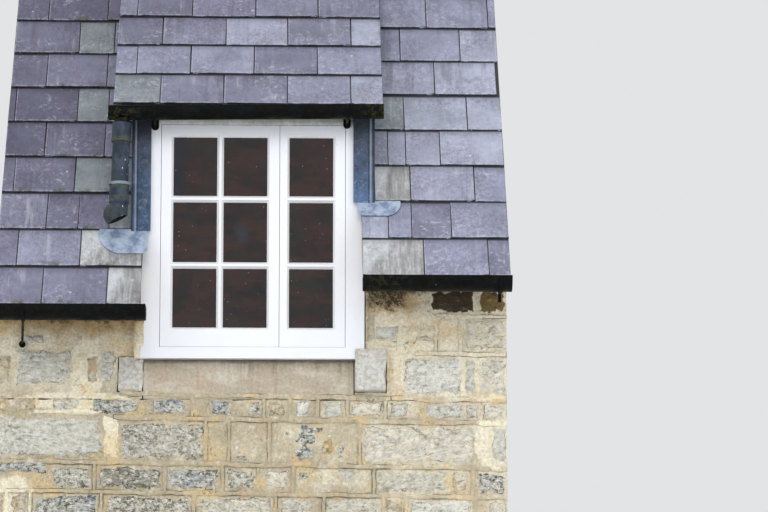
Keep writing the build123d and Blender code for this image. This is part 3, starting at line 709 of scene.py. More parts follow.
def build_wall_stains_and_shadow():
    """Water stains right under the gutters: golden brown on the left, dark and mossy in spots on the right; and
    painted shadow in a dark band right under each gutter.
    """
    white = (1.0, 1.0, 1.0, 1.0)
    tree, given, out = new_group("wall_stains", {"Color": white}, ("Color",))
    place, base = given["Vector"], given["Color"]
    across, deep, height = tree.split(place)
    front = tree.step(deep, -0.19, -0.21)
    rough = tree.minus(tree.noise(place, 26.0, 6.0, 0.75), 0.5)
    risen = tree.plus(height, tree.times(rough, 0.16))
    beside = tree.times(front, tree.step(across, -0.40, -0.46))
    base = tree.over(base, srgb(172, 138, 74), beside, tree.step(risen, 0.775, 0.850), 0.74)
    # Painted shadow: the dark band right under the left gutter, over the stain.
    base = tree.over(base, srgb(58, 48, 26), beside, tree.step(risen, 0.838, 0.872), 0.75)
    edges = tree.plus(across, tree.times(rough, 0.12))
    risen = tree.times(risen, front)
    golden = tree.times(tree.step(edges, 0.44, 0.52), tree.step(edges, 0.70, 0.62), tree.step(risen, 0.875, 0.915))
    base = tree.over(base, srgb(182, 146, 76), golden, 0.65)
    mossy = tree.times(tree.step(edges, 0.46, 0.50), tree.step(edges, 0.64, 0.60), tree.step(risen, 0.905, 0.930))
    tufts = tree.plus(0.45, tree.times(tree.step(tree.noise(place, 75.0, 5.0, 0.8), 0.42, 0.50), 0.55))
    base = tree.over(base, srgb(56, 50, 28), mossy, tufts, 0.95)
    # Painted shadow: a dark band right under the right gutter.
    painted_gutter_shadow = tree.times(tree.step(across, 0.40, 0.46), tree.step(risen, 0.968, 0.992))
    tree.give(out["Color"], tree.over(base, srgb(66, 56, 34), painted_gutter_shadow, 0.75))


def stone_material(name):
    """Rubble limestone: a tone a stone, gold, white and blue patches, chips, grit and pits, mortar lapping its rim,
    painted shade along the mortar's edge.
    """
    tree = Finish(name)
    place, tone = tree.place, tree.attribute("tone")
    base = tree.ramp(tone, [(values[0], srgb(*values[1:])) for values in STONE_KINDS.values()])
    flat = tree.turned(place, scale=(0.8, 1, 1.25))
    calm = tree.step(tone, 0.02, 0.08)
    dusky = tree.times(calm, tree.step(tone, 0.97, 0.95))
    harsh = tree.plus(0.22, tree.times(tree.step(tone, 0.56, 0.26), 0.78))
    warm = tree.times(calm, tree.plus(0.30, tree.times(tree.step(tone, 0.65, 0.78), 0.40)))
    cold = tree.times(dusky, tree.plus(0.12, tree.times(tree.step(tone, 0.36, 0.22), 0.58)))
    flecked = tree.plus(0.28, tree.times(harsh, 0.72))
    for shift, scale, low, share, tint in (
        ((0, 0, 0), 13.0, 0.55, warm, (226, 182, 112)), ((3, 2, 5), 13.0, 0.51, cold, (146, 162, 190)),
        ((8, 4, 3), 40.0, 0.49, dusky, (250, 248, 240)), ((2, 9, 6), 52.0, 0.53, harsh, (112, 106, 84)),
    ):
        patch = tree.patches(tree.turned(flat, location=shift), scale, low, low + 0.08, 0.75)
        base = tree.over(base, srgb(*tint), patch, share, 0.75)
    grain = tree.noise(flat, 95.0, 6.0, 0.75)
    dark = tree.mix(0.72, base, srgb(72, 66, 46))
    base = tree.over(base, dark, tree.step(grain, 0.49, 0.40), flecked, 0.85)
    base = tree.shade_by(base, tree.noise(flat, 48.0, 6.0, 0.7), 0.34, 0.66, 0.82, 1.22)
    level = tree.apart(tree.noise(tree.turned(flat, location=(6, 6, 2)), 26.0, 6.0, 0.62), 0.5)
    some = tree.step(tree.noise(place, 12.0, 3.0), 0.46, 0.56)
    chips = tree.times(tree.step(level, 0.016, 0.006), some, harsh)
    base = tree.over(base, srgb(62, 56, 38), chips, 0.85)
    layered = tree.noise(tree.turned(place, scale=(0.7, 1, 1.4)), 62.0, 6.0, 0.7)
    some = tree.step(tree.noise(place, 9.0, 3.0), 0.40, 0.56)
    pits = tree.times(tree.step(layered, 0.43, 0.37), some, flecked)
    base = tree.over(base, srgb(76, 66, 42), pits, 0.85)
    lime = tree.group("lime", place, fresh=tree.renewal(0.35))
    edge = tree.plus(tree.attribute("rim"), tree.wander(place, 24.0, 5.0, 0.65, 2.2))
    lapped = tree.step(edge, 0.46, 0.32)
    base = tree.over(base, lime["Color"], lapped)
    # Painted shade: a dark broken line round each stone, where the mortar meets it.
    some = tree.step(tree.noise(tree.turned(place, location=(7, 1, 3)), 11.0, 3.0), 0.46, 0.60)
    base = tree.over(base, srgb(92, 78, 50), tree.step(edge, 0.38, 0.45), tree.step(edge, 0.56, 0.48), some, 0.8)
    rough = tree.plus(layered, tree.times(grain, 0.8))
    rough = tree.minus(rough, tree.times(tree.larger(pits, chips), 0.6))
    return tree.dress(tree.stained(base), 0.9, (tree.mix(lapped, rough, lime["Height"]), 0.010, 1.0))


def mortar_material(name):
    """The lime mortar between the stones, with the wall's stains, painted shadow under the gutters and painted light
    high up and on the right.
    """
    tree = Finish(name)
    lime = tree.group("lime", tree.place, fresh=tree.plus(tree.renewal(0.15), tree.attribute("tone")))
    return tree.dress(tree.stained(lime["Color"]), 0.92, (lime["Height"], 0.006, 0.8))


def pointing_material(name):
    """The raised bands of mortar along the joints: tan, with a dark broken line of painted shade along their edges, in
    the gap where each has shrunk.
    """
    tree = Finish(name)
    lime = tree.group("lime", tree.place, fresh=tree.renewal(0.0))
    edge = tree.plus(tree.attribute("rim"), tree.wander(tree.place, 14.0, 5.0, 0.6, 1.8))
    some = tree.step(tree.noise(tree.turned(tree.place, location=(2, 7, 5)), 6.0, 3.0), 0.48, 0.56)
    # Painted shade: the dark broken line along the bands' edges, in the gap where they have shrunk.
    base = tree.over(lime["Color"], srgb(78, 66, 40), tree.step(edge, 0.46, 0.28), some, 0.85)
    return tree.dress(tree.stained(base), 0.92, (lime["Height"], 0.004, 0.7))


def sill_stone_material(name):
    """Dressed limestone, weathered tan, darker and streaked along its top, with painted shadow of the frame's sill
    along its top edge.
    """
    tree = Finish(name)
    place, height = tree.place, tree.split(tree.place)["Z"]
    fine = tree.noise(place, 80.0, 8.0, 0.7)
    runs = tree.streaks(tree.upright(), 26.0, 0.5, 0.72)
    broad = tree.patches(tree.turned(place, scale=(0.4, 1, 1)), 9.0)
    base = tree.over(colours().sill_tan, srgb(206, 198, 182), broad)
    base = tree.over(base, srgb(154, 142, 122), runs, 0.45)
    rosy = tree.patches(tree.turned(place, location=(3, 1, 2)), 11.0, 0.5)
    base = tree.over(base, srgb(188, 160, 136), rosy, 0.30)
    wander = tree.wander(place, 18.0, 5.0, 0.6, 0.06)
    top = tree.step(tree.plus(height, wander), 0.625, 0.69)
    base = tree.over(base, srgb(112, 100, 84), top, tree.plus(0.30, tree.times(runs, 0.4)))
    # Painted shadow: a dark band along the top edge, under the frame's sill.
    edge = tree.step(tree.plus(height, tree.times(wander, 0.3)), 0.680, 0.694)
    base = tree.over(base, srgb(84, 76, 66), edge, 0.7)
    base = tree.shade_by(base, fine, 0.34, 0.66, 0.82, 1.18)
    base = tree.over(base, srgb(226, 224, 216), tree.speckle(place, 60.0, 0.16, 0.22), 0.8)
    return tree.dress(base, 0.9, (tree.plus(fine, runs), 0.002, 0.7))


def pale_stone_material(name):
    """White pecked limestone with warm grey in its hollows and a soft tan rim."""
    tree = Finish(name)
    place = tree.place
    fine = tree.noise(place, 60.0, 8.0, 0.75)
    lumps = tree.cells(tree.turned(place, scale=(1, 1, 1.2)), 52.0)
    base = tree.ramp(fine, [(0.30, srgb(176, 170, 156)), (0.48, srgb(232, 229, 221)), (0.70, srgb(246, 245, 242))])
    base = tree.over(base, srgb(184, 176, 160), tree.step(lumps, 0.45, 0.75), 0.45)
    base = tree.over(base, srgb(214, 194, 156), tree.patches(place, 14.0, 0.5, 0.68), 0.30)
    cold = tree.patches(tree.turned(place, location=(4, 2, 6)), 20.0, 0.54)
    base = tree.over(base, srgb(196, 204, 214), cold, 0.15)
    base = tree.over(base, srgb(128, 120, 104), tree.speckle(place, 120.0, 0.36, 0.35), 0.45)
    return tree.dress(base, 0.9, (tree.minus(fine, tree.times(lumps, 0.7)), 0.010, 1.0))


def lead_material(name, pale):
    """Sheet lead: blue-grey patina, streaked down, darker towards the top under the gutter, with painted shade and a
    painted highlight along the wrapped edges.
    """
    tint, tree = colours(), Finish(name)
    place, upright = tree.place, tree.upright()
    cloud = tree.patches(place, 16.0, 0.40, 0.62, 0.7)
    if pale:
        first, second, streak = tint.lead_pale, srgb(116, 134, 164), srgb(196, 206, 222)
    else:
        first, second, streak = tint.lead_blue, srgb(58, 82, 114), srgb(112, 134, 164)
    base = tree.over(first, second, cloud)
    base = tree.over(base, streak, tree.streaks(upright, 40.0, 0.42, 0.72), 0.40)
    base = tree.over(base, srgb(166, 184, 208), tree.patches(upright, 44.0, 0.54, 0.66, 0.75), 0.45)
    base = tree.over(base, srgb(206, 212, 220), tree.speckle(place, 70.0, 0.2, 0.2), 0.6)
    if not pale:
        across, _, height = tree.split(place)
        base = tree.over(base, srgb(40, 52, 70), tree.step(across, 0.1, -0.1), 0.35)
        # Darker towards the top, under the gutter.
        risen = tree.plus(height, tree.wander(place, 12.0, 5.0, 0.7, 0.5))
        base = tree.over(base, srgb(36, 36, 40), tree.step(risen, 1.30, 1.70), 0.85)
        # Painted shade and a painted highlight along the wrapped edges: dark lines in the gap and at the fold, a pale
        # line on the rolled edge.
        side = tree.maths("ABSOLUTE", across)
        for low, high, tone, share in (
            (0.466, 0.470, srgb(20, 28, 40), 0.6), (0.474, 0.479, srgb(170, 186, 206), 0.4),
            (0.486, 0.499, srgb(20, 26, 36), 0.7),
        ):
            base = tree.over(base, tone, tree.step(side, low - 0.002, low), tree.step(side, high + 0.002, high), share)
    relief = tree.plus(tree.noise(place, 14.0, 3.0), tree.times(tree.noise(place, 160.0, 4.0), 0.1))
    return tree.dress(base, tree.plus(0.46, tree.times(cloud, 0.2)), (relief, 0.008, 0.6), {"Metallic": 0.20})


def paint_material(name, tint, soiled):
    """White gloss paint on wood: faint brush marks, soft grime, hair cracks, an olive band of algae and painted shade
    under the dormer's gutter.
    """
    tree = Finish(name)
    place = tree.place
    grime = tree.patches(place, 7.0, 0.44, 0.74)
    base = tree.over(tint, srgb(196, 198, 198), grime, soiled)
    base = tree.over(base, srgb(186, 188, 184), tree.streaks(tree.upright(), 50.0, 0.6, 0.85), soiled * 1.2)
    base = tree.over(base, srgb(150, 150, 146), tree.speckle(place, 38.0, 0.10, 0.12), 0.5)
    # An olive band along the frame's head: algae, with painted shade under the dormer's gutter.
    risen = tree.plus(tree.split(place)["Z"], tree.wander(place, 16.0, 6.0, 0.7, 0.05))
    base = tree.over(base, srgb(136, 138, 92), tree.step(risen, 1.652, 1.684), 0.75)
    brush = tree.noise(tree.turned(place, scale=(3, 1, 0.3)), 160.0, 3.0)
    relief = tree.plus(tree.times(brush, 0.15), tree.noise(place, 9.0, 2.0))
    return tree.dress(base, tree.plus(0.28, tree.times(grime, 0.2)), (relief, 0.001, 0.6))


def iron_material(name):
    """Near-black gloss paint on cast iron, dulled, with olive moss at the ends of the gutters and in the joints."""
    tree = Finish(name)
    place = tree.place
    across, _, height = tree.split(place)
    dull = tree.patches(place, 16.0, 0.42, 0.66)
    base = tree.over(colours().iron_black, srgb(17, 21, 27), dull, 0.5)
    high = tree.step(height, 1.5, 1.6)
    left_end = tree.times(tree.step(across, -0.42, -0.54), high)
    right_end = tree.times(tree.step(across, 0.40, 0.50), high)
    beside = tree.times(tree.step(across, 0.45, 0.47), tree.step(across, 0.66, 0.56), tree.step(height, 1.1, 1.0))
    where = tree.larger(tree.larger(left_end, right_end), tree.times(beside, 0.5))
    growth = tree.patches(place, 44.0, 0.46, 0.60, 0.8)
    cover = tree.times(growth, tree.plus(0.08, tree.times(where, 0.60)))
    base = tree.over(base, srgb(66, 66, 36), cover)
    base = tree.over(base, srgb(150, 154, 152), tree.speckle(place, 55.0, 0.16, 0.10), 0.6)
    roughness = tree.plus(0.40, tree.times(tree.larger(dull, cover), 0.4))
    relief = tree.plus(tree.noise(place, 130.0, 6.0, 0.7), cover)
    return tree.dress(base, roughness, (relief, 0.0015, 0.6), {"Specular IOR Level": 0.11})


def pipe_material(name):
    """Faded blue-black paint on the downpipe, with moss on its rings, olive moss and painted light on its left side, a
    worn pale band and droppings.
    """
    tree = Finish(name)
    place = tree.place
    across, _, height = tree.split(place)
    dull = tree.patches(tree.turned(place, scale=(1, 1, 0.4)), 22.0)
    base = tree.over(colours().pipe_blue, srgb(40, 48, 62), dull)
    faded = tree.patches(tree.turned(place, location=(1, 5, 2)), 26.0, 0.5)
    base = tree.over(base, srgb(86, 96, 108), faded, 0.35)
    growth = tree.noise(place, 40.0, 6.0, 0.75)
    # Olive on the pipe's left side: moss, with painted light on that side.
    ringed = tree.times(tree.step(across, -0.555, -0.575), 0.55)
    for middle, half in ((1.569, 0.008), (1.379, 0.005), (1.331, 0.006)):
        ringed = tree.larger(ringed, tree.step(tree.apart(height, middle), half + 0.008, half))
    ringed = tree.larger(ringed, tree.times(tree.step(height, 1.31, 1.24), 0.6))
    base = tree.over(base, srgb(82, 84, 58), ringed, tree.step(growth, 0.36, 0.54), 0.65)
    band = tree.step(tree.apart(height, 1.391), 0.010, 0.005)
    base = tree.over(base, srgb(150, 160, 172), band, tree.step(growth, 0.36, 0.5), 0.7)
    drops = tree.speckle(tree.turned(place, scale=(1, 1, 0.5)), 90.0, 0.30, 0.35)
    where = tree.times(drops, tree.step(across, -0.54, -0.52), tree.step(height, 1.54, 1.48))
    base = tree.over(base, srgb(206, 210, 210), where, 0.85)
    relief = (tree.noise(place, 110.0, 6.0, 0.7), 0.0015, 0.6)
    return tree.dress(base, tree.plus(0.5, tree.times(growth, 0.3)), relief, {"Specular IOR Level": 0.2})


def timber_material(name, rotation):
    """Bare sawn softwood with its grain along the turned X, and a tone for each board where there is one."""
    tint, tree = colours(), Finish(name)
    tone = tree.attribute("tone")
    shift = tree.node("CombineXYZ", {"X": tree.times(tone, 9.0), "Y": tone}).outputs["Vector"]
    local = tree.vector("ADD", {0: tree.turned(tree.place, rotation=rotation), 1: shift})
    wood = tree.group("grain", local, scale=1.0)
    base = tree.over(tint.timber_brown, tint.timber_dark, wood["Rings"])
    base = tree.over(base, srgb(176, 146, 106), wood["Fibres"], 0.4)
    base = tree.over(base, tint.timber_dark, tone, 0.35)
    knots = tree.step(tree.cells(tree.turned(local, scale=(1, 2.2, 2.2)), 3.1), 0.10, 0.05)
    base = tree.over(base, srgb(74, 50, 30), knots, 0.7)
    base = tree.over(base, srgb(84, 72, 58), tree.patches(tree.place, 5.0, 0.5, 0.7), 0.3)
    return tree.dress(base, 0.82, (wood["Height"], 0.0015, 0.7))


def glass_material(name):
    """Old window glass in front of a dark reddish room, with painted reddish-brown reflections, navy at its left,
    faint smears and specks of dust.
    """
    tree = Finish(name)
    place = tree.place
    across, _, height = tree.split(place)
    # Painted reflections: reddish-brown patches on the dark panes.
    red = tree.patches(tree.turned(place, scale=(0.5, 1, 1.7)), 11.0, 0.32, 0.60)
    base = tree.over(colours().glass_brown, srgb(52, 26, 22), red, 0.85)
    dark = tree.patches(tree.turned(place, location=(2, 5, 9)), 9.0, 0.5)
    base = tree.over(base, srgb(10, 10, 14), dark, 0.6)
    green = tree.patches(tree.turned(place, location=(7, 1, 3)), 11.0, 0.5)
    base = tree.over(base, srgb(32, 32, 24), green, 0.5)
    side = tree.plus(across, tree.wander(place, 20.0, 3.0, 0.55, 0.02))
    base = tree.over(base, srgb(12, 18, 32), tree.step(side, -0.270, -0.282), tree.step(height, 1.34, 1.37), 0.85)
    near = tree.turned(tree.turned(place, location=(0.045, 0, -1.215)), scale=(22, 0, 15))
    far = tree.plus(tree.vector("LENGTH", {0: near}, "Value"), tree.noise(place, 30.0, 4.0))
    base = tree.over(base, srgb(52, 56, 66), tree.step(far, 1.5, 0.6), 0.5)
    dust = tree.speckle(place, 70.0, 0.16, 0.22)
    base = tree.over(base, srgb(170, 166, 160), dust, 0.7)
    return tree.dress(base, tree.plus(0.06, tree.times(dust, 0.4)), (tree.noise(place, 7.0, 2.0), 0.002, 0.25))


def floor_material(name):
    """Pale floor that keeps the shadow and lets a camera under it see through."""
    tree = Finish(name)
    cloud = tree.patches(tree.place, 0.8, 0.3, 0.8)
    tree.dress(tree.over(colours().floor_pale, srgb(206, 208, 210), cloud, 0.08), 0.9)
    under = tree.node("NewGeometry").outputs["Backfacing"]
    clear = tree.node("BsdfTransparent").outputs["BSDF"]
    either = tree.node("MixShader", {0: under, 1: tree.shader.outputs["BSDF"], 2: clear}).outputs["Shader"]
    tree.give(tree.output.inputs["Surface"], either)
    return tree.material


# Roofs

# How far slates may run past the head of a slope, where the trim cuts them, and where the last course starts.
PAST_HEAD = 0.03
# How far before the head of the main slates the dormer's own slates and boards stop, where the roofs meet.
MEETING_SLATES = 0.06
MEETING_BOARDS = 0.16
# The gap between the window's frame and the slates and boards in front of it.
FRAME_GAP = 0.004
BOARD_THICKNESS = 20 * MM
# The sides of a slate's tail that have lost a corner, for each slate that the roofs are laid with.
SLATE_CHIPS = ((), (1,), (), (-1,), (1, -1), ())


class RoofPlane:
    """The top of a slope's slates: how high it is, and how a slate or a board lies on it."""

    def __init__(self, node, pitch):
        low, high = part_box(node)
        self.pitch = pitch
        self.eaves_y = low.y
        self.head_y = high.y
        self.eaves_z = high.z - (high.y - low.y) * math.tan(pitch)

    def matrix(self, across, up, depth, tilt=0.0):
        """Where a shape lies whose tail's middle is up the slope by up and under its surface by depth."""
        turn = Matrix.Rotation(self.pitch - tilt, 4, "X")
        place = Matrix.Rotation(self.pitch, 4, "X") @ Vector((0, up, -depth))
        return Matrix.Translation((across, self.eaves_y + place.y, self.eaves_z + place.z)) @ turn

    def up_to(self, y):
        return (y - self.eaves_y) / math.cos(self.pitch)

    def up_to_frame(self):
        return self.up_to(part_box("frame_head")[0].y - FRAME_GAP)


def model_slate(name, chipped, seed):
    """One riven slate with a ragged tail, lying flat: tail at y 0, top at z 0, middle at x 0."""
    size = sizes()
    half = (size.slate_width - size.slate_joint) / 2
    slate = start_block(name, (-half, 0, -size.slate_thickness), (half, size.slate_length, 0))
    slice_mesh(slate, 0, [half * share for share in (-0.93, -0.7, -0.35, 0, 0.35, 0.7, 0.93)])
    slice_mesh(slate, 1, [0.004, 0.016, size.slate_gauge])
    open_mesh(slate, "VERT")
    pick(slate, "verts", lambda vertex: vertex.co.y < TINY)
    bpy.ops.transform.vertex_random(offset=0.0030, seed=seed)
    for side in chipped:
        pick(slate, "verts", lambda vertex: vertex.co.y < 0.003 and vertex.co.x * side > half * 0.97)
        bpy.ops.transform.translate(value=(-side * 0.004, 0.011, 0))
        pick(slate, "verts", lambda vertex: vertex.co.y < 0.003 and half * 0.9 < vertex.co.x * side < half * 0.96)
        bpy.ops.transform.translate(value=(0, 0.005, 0))
    bpy.ops.mesh.select_mode(type="EDGE")
    pick(
        slate,
        "edges",
        lambda edge: all(vertex.co.z > -0.002 for vertex in edge.verts)
        and all(vertex.co.y < 0.0038 for vertex in edge.verts),
    )
    bpy.ops.mesh.bevel(offset=0.0012, segments=1, affect="EDGES")
    close_mesh()
    if "slate" not in slate.data.uv_layers:
        slate.data.uv_layers.new(name="slate")
    for other in [item for item in slate.data.uv_layers if item.name != "slate"]:
        slate.data.uv_layers.remove(other)
    layer = slate.data.uv_layers["slate"]
    for corner in slate.data.loops:
        spot = slate.data.vertices[corner.vertex_index].co
        layer.data[corner.index].uv = (spot.x + half, spot.y)
    return slate


def model_slates():
    """The few slates that all the roofs are laid with."""
    return [model_slate(f"slate_{number}", chipped, number + 3) for number, chipped in enumerate(SLATE_CHIPS)]


def lay_course(laid, kinds, roof, course, joints, pick_tone, limits, luck, depth=0.001):
    """One course of slates between two ends, with joints at given places, shortened where something stands."""
    size = sizes()
    full = size.slate_width - size.slate_joint
    tilt = math.atan(size.slate_thickness * 1.03 / size.slate_gauge)
    up = course * size.slate_gauge
    edges = sorted(joints)
    for number, (left, right) in enumerate(zip(edges, edges[1:])):
        wide = right - left - size.slate_joint
        longest = limits(left, right, up)
        if wide < 0.010 or longest < 0.012:
            continue
        kind = luck.choice(kinds)
        cut = min(1.0, longest / size.slate_length)
        stretch = Matrix.Diagonal((wide / full, cut, 1, 1))
        lifted = luck.uniform(-0.0008, 0.0008)
        askew = Matrix.Rotation(luck.uniform(-0.006, 0.006), 4, "Z")
        slipped = luck.uniform(-0.003, 0.003) if course else abs(luck.uniform(0, 0.002))
        place = roof.matrix((left + right) / 2, up + slipped + 0.0004, depth + lifted, tilt)
        slate = copy_shape(kind, place @ askew @ stretch, pick_tone(course, number))
        for corner in slate.data.uv_layers["slate"].data:
            corner.uv.y *= cut
        laid.append(slate)


def lay_under_course(laid, kinds, roof, joints, luck):
    """The hidden short course at the eaves, which closes the joints of the first one."""
    size = sizes()
    start, *inside, stop = sorted(joints)
    halves = [start, *[place + size.slate_width / 2 for place in inside], stop]
    halves = [place for place in halves if place <= stop]
    short = size.slate_gauge * 1.05

    def soot(course, number):
        return SLATE_TONES["soot"]

    lay_course(laid, kinds, roof, 0, halves, soot, lambda left, right, up: short, luck, size.slate_thickness * 1.25)


def regular_joints(start, end, first, width):
    """Joints a slate apart, from one that is given, between the two ends of a course."""
    places = [start, end]
    place = first
    while place > start:
        place -= width
    place += width
    while place < end - 0.01:
        if place > start + 0.03:
            places.append(place)
        place += width
    return places


def tone_near(value, luck, spread=0.018):
    return min(1.0, max(0.0, value + luck.uniform(-spread, spread)))


class DORMER_OT_main_slates(bpy.types.Operator):
    """Lays the slates of the main roof on both sides of the dormer"""

    bl_idname = "dormer.main_slates"
    bl_label = "Main slates"

    # The courses that the photograph shows, from the eaves up: the joints, in metres from the window's
    # middle, and the kinds of slate from left to right.
    right_courses = (
        ((0.685, 0.944), "stained lavender mauve"),
        ((0.546, 0.640, 0.800), "frost lavender mauve lavender"),
        ((0.640, 0.902), "stained lilac lavender"),
        ((0.552, 0.625, 0.767), "lilac lilac lilac frost"),
        ((0.623, 0.887), "green frost frost"),
        ((0.756, 1.017), "lilac frost lavender"),
        ((0.615, 0.870), "lavender lavender lilac"),
        ((0.731, 0.997), "lavender lavender lavender"),
    )
    left_courses = (
        ((-0.835, -0.578), "mauve mauve stained"),
        ((-0.946, -0.693), "mauve lavender stained"),
        ((-0.838, -0.709, -0.583), "mauve plum plum green"),
        ((-0.983, -0.734, -0.583), "plum plum green green"),
        ((-0.867, -0.620), "soot plum mauve"),
        ((-1.003, -0.741, -0.612), "soot soot green mauve"),
        ((-0.882, -0.626), "plum mauve lavender"),
        ((-0.752, -0.603), "plum green mauve"),
        ((-0.893, -0.638), "soot soot plum"),
    )

    def execute(self, context):
        kinds = model_slates()
        self.lay("right", kinds, self.right_courses, ("lavender", "lavender", "lilac", "mauve", "frost"), 1.0)
        self.lay("left", kinds, self.left_courses, ("plum", "mauve", "soot", "lavender", "green"), 0.93)
        remove(kinds)
        return {"FINISHED"}

    def lay(self, side, kinds, known, others, darkening):
        size = sizes()
        luck = random.Random(11 if side == "right" else 23)
        node = f"main_slates_{side}"
        roof = RoofPlane(node, size.main_pitch)
        low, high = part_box(node)
        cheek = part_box(f"cheek_lead_{side}")
        beside = cheek[1].x + 0.001 if side == "right" else cheek[0].x - 0.001
        front = roof.up_to_frame()
        end = high.x if side == "right" else low.x
        laid = []

        def limits(left, right, up):
            longest = roof.up_to(roof.head_y) - up + PAST_HEAD
            inside = left < beside - 0.002 if side == "right" else right > beside + 0.002
            return min(longest, front - up) if inside else longest

        def pick_tone(course, number):
            kinds_seen = known[course][1].split() if course < len(known) else ()
            kind = kinds_seen[number] if number < len(kinds_seen) else luck.choice(others)
            return tone_near(SLATE_TONES[kind], luck)

        course = 0
        while course * size.slate_gauge < roof.up_to(roof.head_y) - PAST_HEAD:
            reach = course * size.slate_gauge < front - 0.012
            inner = (low.x if side == "right" else high.x) if reach else beside
            start, stop = (inner, end) if side == "right" else (end, inner)
            if course < len(known):
                joints = [start, stop] + [place for place in known[course][0] if start + 0.01 < place < stop - 0.01]
            else:
                shift = known[course % 2][0][0] + 0.03 * (course % 3)
                joints = regular_joints(start, stop, shift, size.slate_width)
            if not course:
                lay_under_course(laid, kinds, roof, joints, luck)
            lay_course(laid, kinds, roof, course, joints, pick_tone, limits, luck)
            course += 1
        slates = join(f"laid_slates_{side}", laid)
        trim_to_box(slates, node)
        smooth(slates, 30)
        mossy = 0.0 if side == "right" else 0.10
        finish_piece(slates, slate_material(f"slate_main_{side}", size.main_pitch, darkening, mossy), "slate", node)


class DORMER_OT_dormer_slates(bpy.types.Operator):
    """Lays the slates of the dormer's own roof"""

    bl_idname = "dormer.dormer_slates"
    bl_label = "Dormer slates"

    courses_seen = (
        ((-0.380, -0.123, 0.137, 0.395), "green mauve mauve lavender frost"),
        ((-0.482, -0.262, -0.001, 0.260), "lavender lavender lavender mauve lavender"),
        ((-0.383, -0.119, 0.138, 0.401), "plum mauve lilac mauve frost"),
        ((-0.494, -0.263, 0.003, 0.265), "mauve plum mauve mauve mauve"),
    )

    def execute(self, context):
        size = sizes()
        luck = random.Random(5)
        kinds = model_slates()
        roof = RoofPlane("dormer_slates", size.dormer_pitch)
        low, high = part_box("dormer_slates")
        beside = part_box("cheek_lead_right")[1].x
        meeting = roof.up_to(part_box("main_slates_right")[1].y - MEETING_SLATES)
        laid = []

        def limits(left, right, up):
            longest = roof.up_to(roof.head_y) - up + PAST_HEAD
            return min(longest, meeting - up) if right > beside + 0.002 else longest

        def pick_tone(course, number):
            kinds_seen = self.courses_seen[course][1].split() if course < len(self.courses_seen) else ()
            drawn = luck.choice(("mauve", "lavender", "plum", "lilac", "green", "mauve"))
            kind = kinds_seen[number] if number < len(kinds_seen) else drawn
            return tone_near(SLATE_TONES[kind], luck)

        course = 0
        while course * size.slate_gauge < roof.up_to(roof.head_y) - PAST_HEAD:
            if course < len(self.courses_seen):
                joints = [low.x, high.x, *self.courses_seen[course][0]]
            else:
                joints = regular_joints(low.x, high.x, self.courses_seen[course % 2][0][1], size.slate_width)
            if course * size.slate_gauge > meeting - 0.05:
                joints = [place for place in joints if place < beside - 0.02] + [beside]
            if not course:
                lay_under_course(laid, kinds, roof, joints, luck)
            lay_course(laid, kinds, roof, course, joints, pick_tone, limits, luck)
            course += 1
        remove(kinds)
        slates = join("laid_slates_dormer", laid)
        trim_to_box(slates, "dormer_slates")
        smooth(slates, 30)
        finish_piece(slates, slate_material("slate_dormer", size.dormer_pitch, 0.90, 0.02), "slate", "dormer_slates")
        return {"FINISHED"}


class DORMER_OT_roof_boards(bpy.types.Operator):
    """Lays the close boarding under the slates"""

    bl_idname = "dormer.roof_boards"
    bl_label = "Roof boards"

    def execute(self, context):
        size = sizes()
        material = timber_material("boards_main", (0, 0, 0))
        for node, pitch in (
            ("main_roof_boards_right", size.main_pitch),
            ("main_roof_boards_left", size.main_pitch),
            ("dormer_roof_boards", size.dormer_pitch),
        ):
            self.lay(node, pitch, material)
        return {"FINISHED"}

    def lay(self, node, pitch, material):
        size = sizes()
        luck = random.Random(len(node))
        roof = RoofPlane(node, pitch)
        low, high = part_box(node)
        pattern = start_block("board", (-0.5, 0, -BOARD_THICKNESS), (0.5, size.board_width - size.board_gap, 0))
        bevel_edges(pattern, lambda edge: abs(edge.verts[0].co.x - edge.verts[1].co.x) > 0.5, 0.0015, 2)
        slice_mesh(pattern, 0, (-0.3, 0.0, 0.3))
        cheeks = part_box("cheek_lead_right")[1].x + 0.001
        front = roof.up_to_frame()
        meeting = roof.up_to(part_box("main_slates_right")[1].y - MEETING_BOARDS)
        top = roof.up_to(roof.head_y) - BOARD_THICKNESS * math.tan(pitch)
        laid = []
        up = 0.0
        while up < top - 0.02:
            wide = min(size.board_width, top - up)
            start, stop = low.x, high.x
            if node == "main_roof_boards_right":
                start = cheeks if up + wide > front else low.x + 0.012
            if node == "main_roof_boards_left":
                stop = -cheeks if up + wide > front else high.x - 0.012
            if node == "dormer_roof_boards" and up + wide > meeting:
                stop = cheeks - 0.002
            shape = Matrix.Diagonal((stop - start, wide / size.board_width, 1, 1))
            place = roof.matrix((start + stop) / 2, up, 0.0)
            laid.append(copy_shape(pattern, place @ shape, luck.random()))
            up += size.board_width
        remove([pattern])
        finish_piece(join(f"laid_{node}", laid), material, "rough_timber", node)


# Masonry

# The height over the wall's base that stays plain, and the top of the grid that the stones are cut to.
PLAIN_BASE = 0.004
GRID_TOP = 1.2


def fill_course(bottom, top, ends, luck, tones, shortest=0.14, longest=0.40, joint=0.024):
    """Stones of one course between two ends, of uneven lengths."""
    start, stop = ends
    stones = []
    place = start
    while place < stop - 0.05:
        reach = luck.uniform(shortest, longest)
        if stop - place - reach < shortest:
            reach = stop - place
        edge = joint / 2 + luck.uniform(-0.004, 0.006)
        stones.append((place + edge, place + reach - edge, bottom + 0.004, top - joint, luck.choice(tones)))
        place += reach
    return stones


def wall_corners(side, start, stop, bottom, top, proud):
    """The corners of a block that stands in one of the wall's faces, and how that face looks outwards."""
    low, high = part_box("wall_below_window")
    bed = sizes().stone_bed
    if side == "front":
        return (start, low.y - proud, bottom), (stop, low.y + bed, top), (0, -1)
    if side == "back":
        return (start, high.y - bed, bottom), (stop, high.y + proud, top), (0, 1)
    if side == "left":
        return (low.x + 0.002 - proud, start, bottom), (low.x + bed, stop, top), (-1, 0)
    return (high.x - bed, start, bottom), (high.x - 0.002 + proud, stop, top), (1, 0)


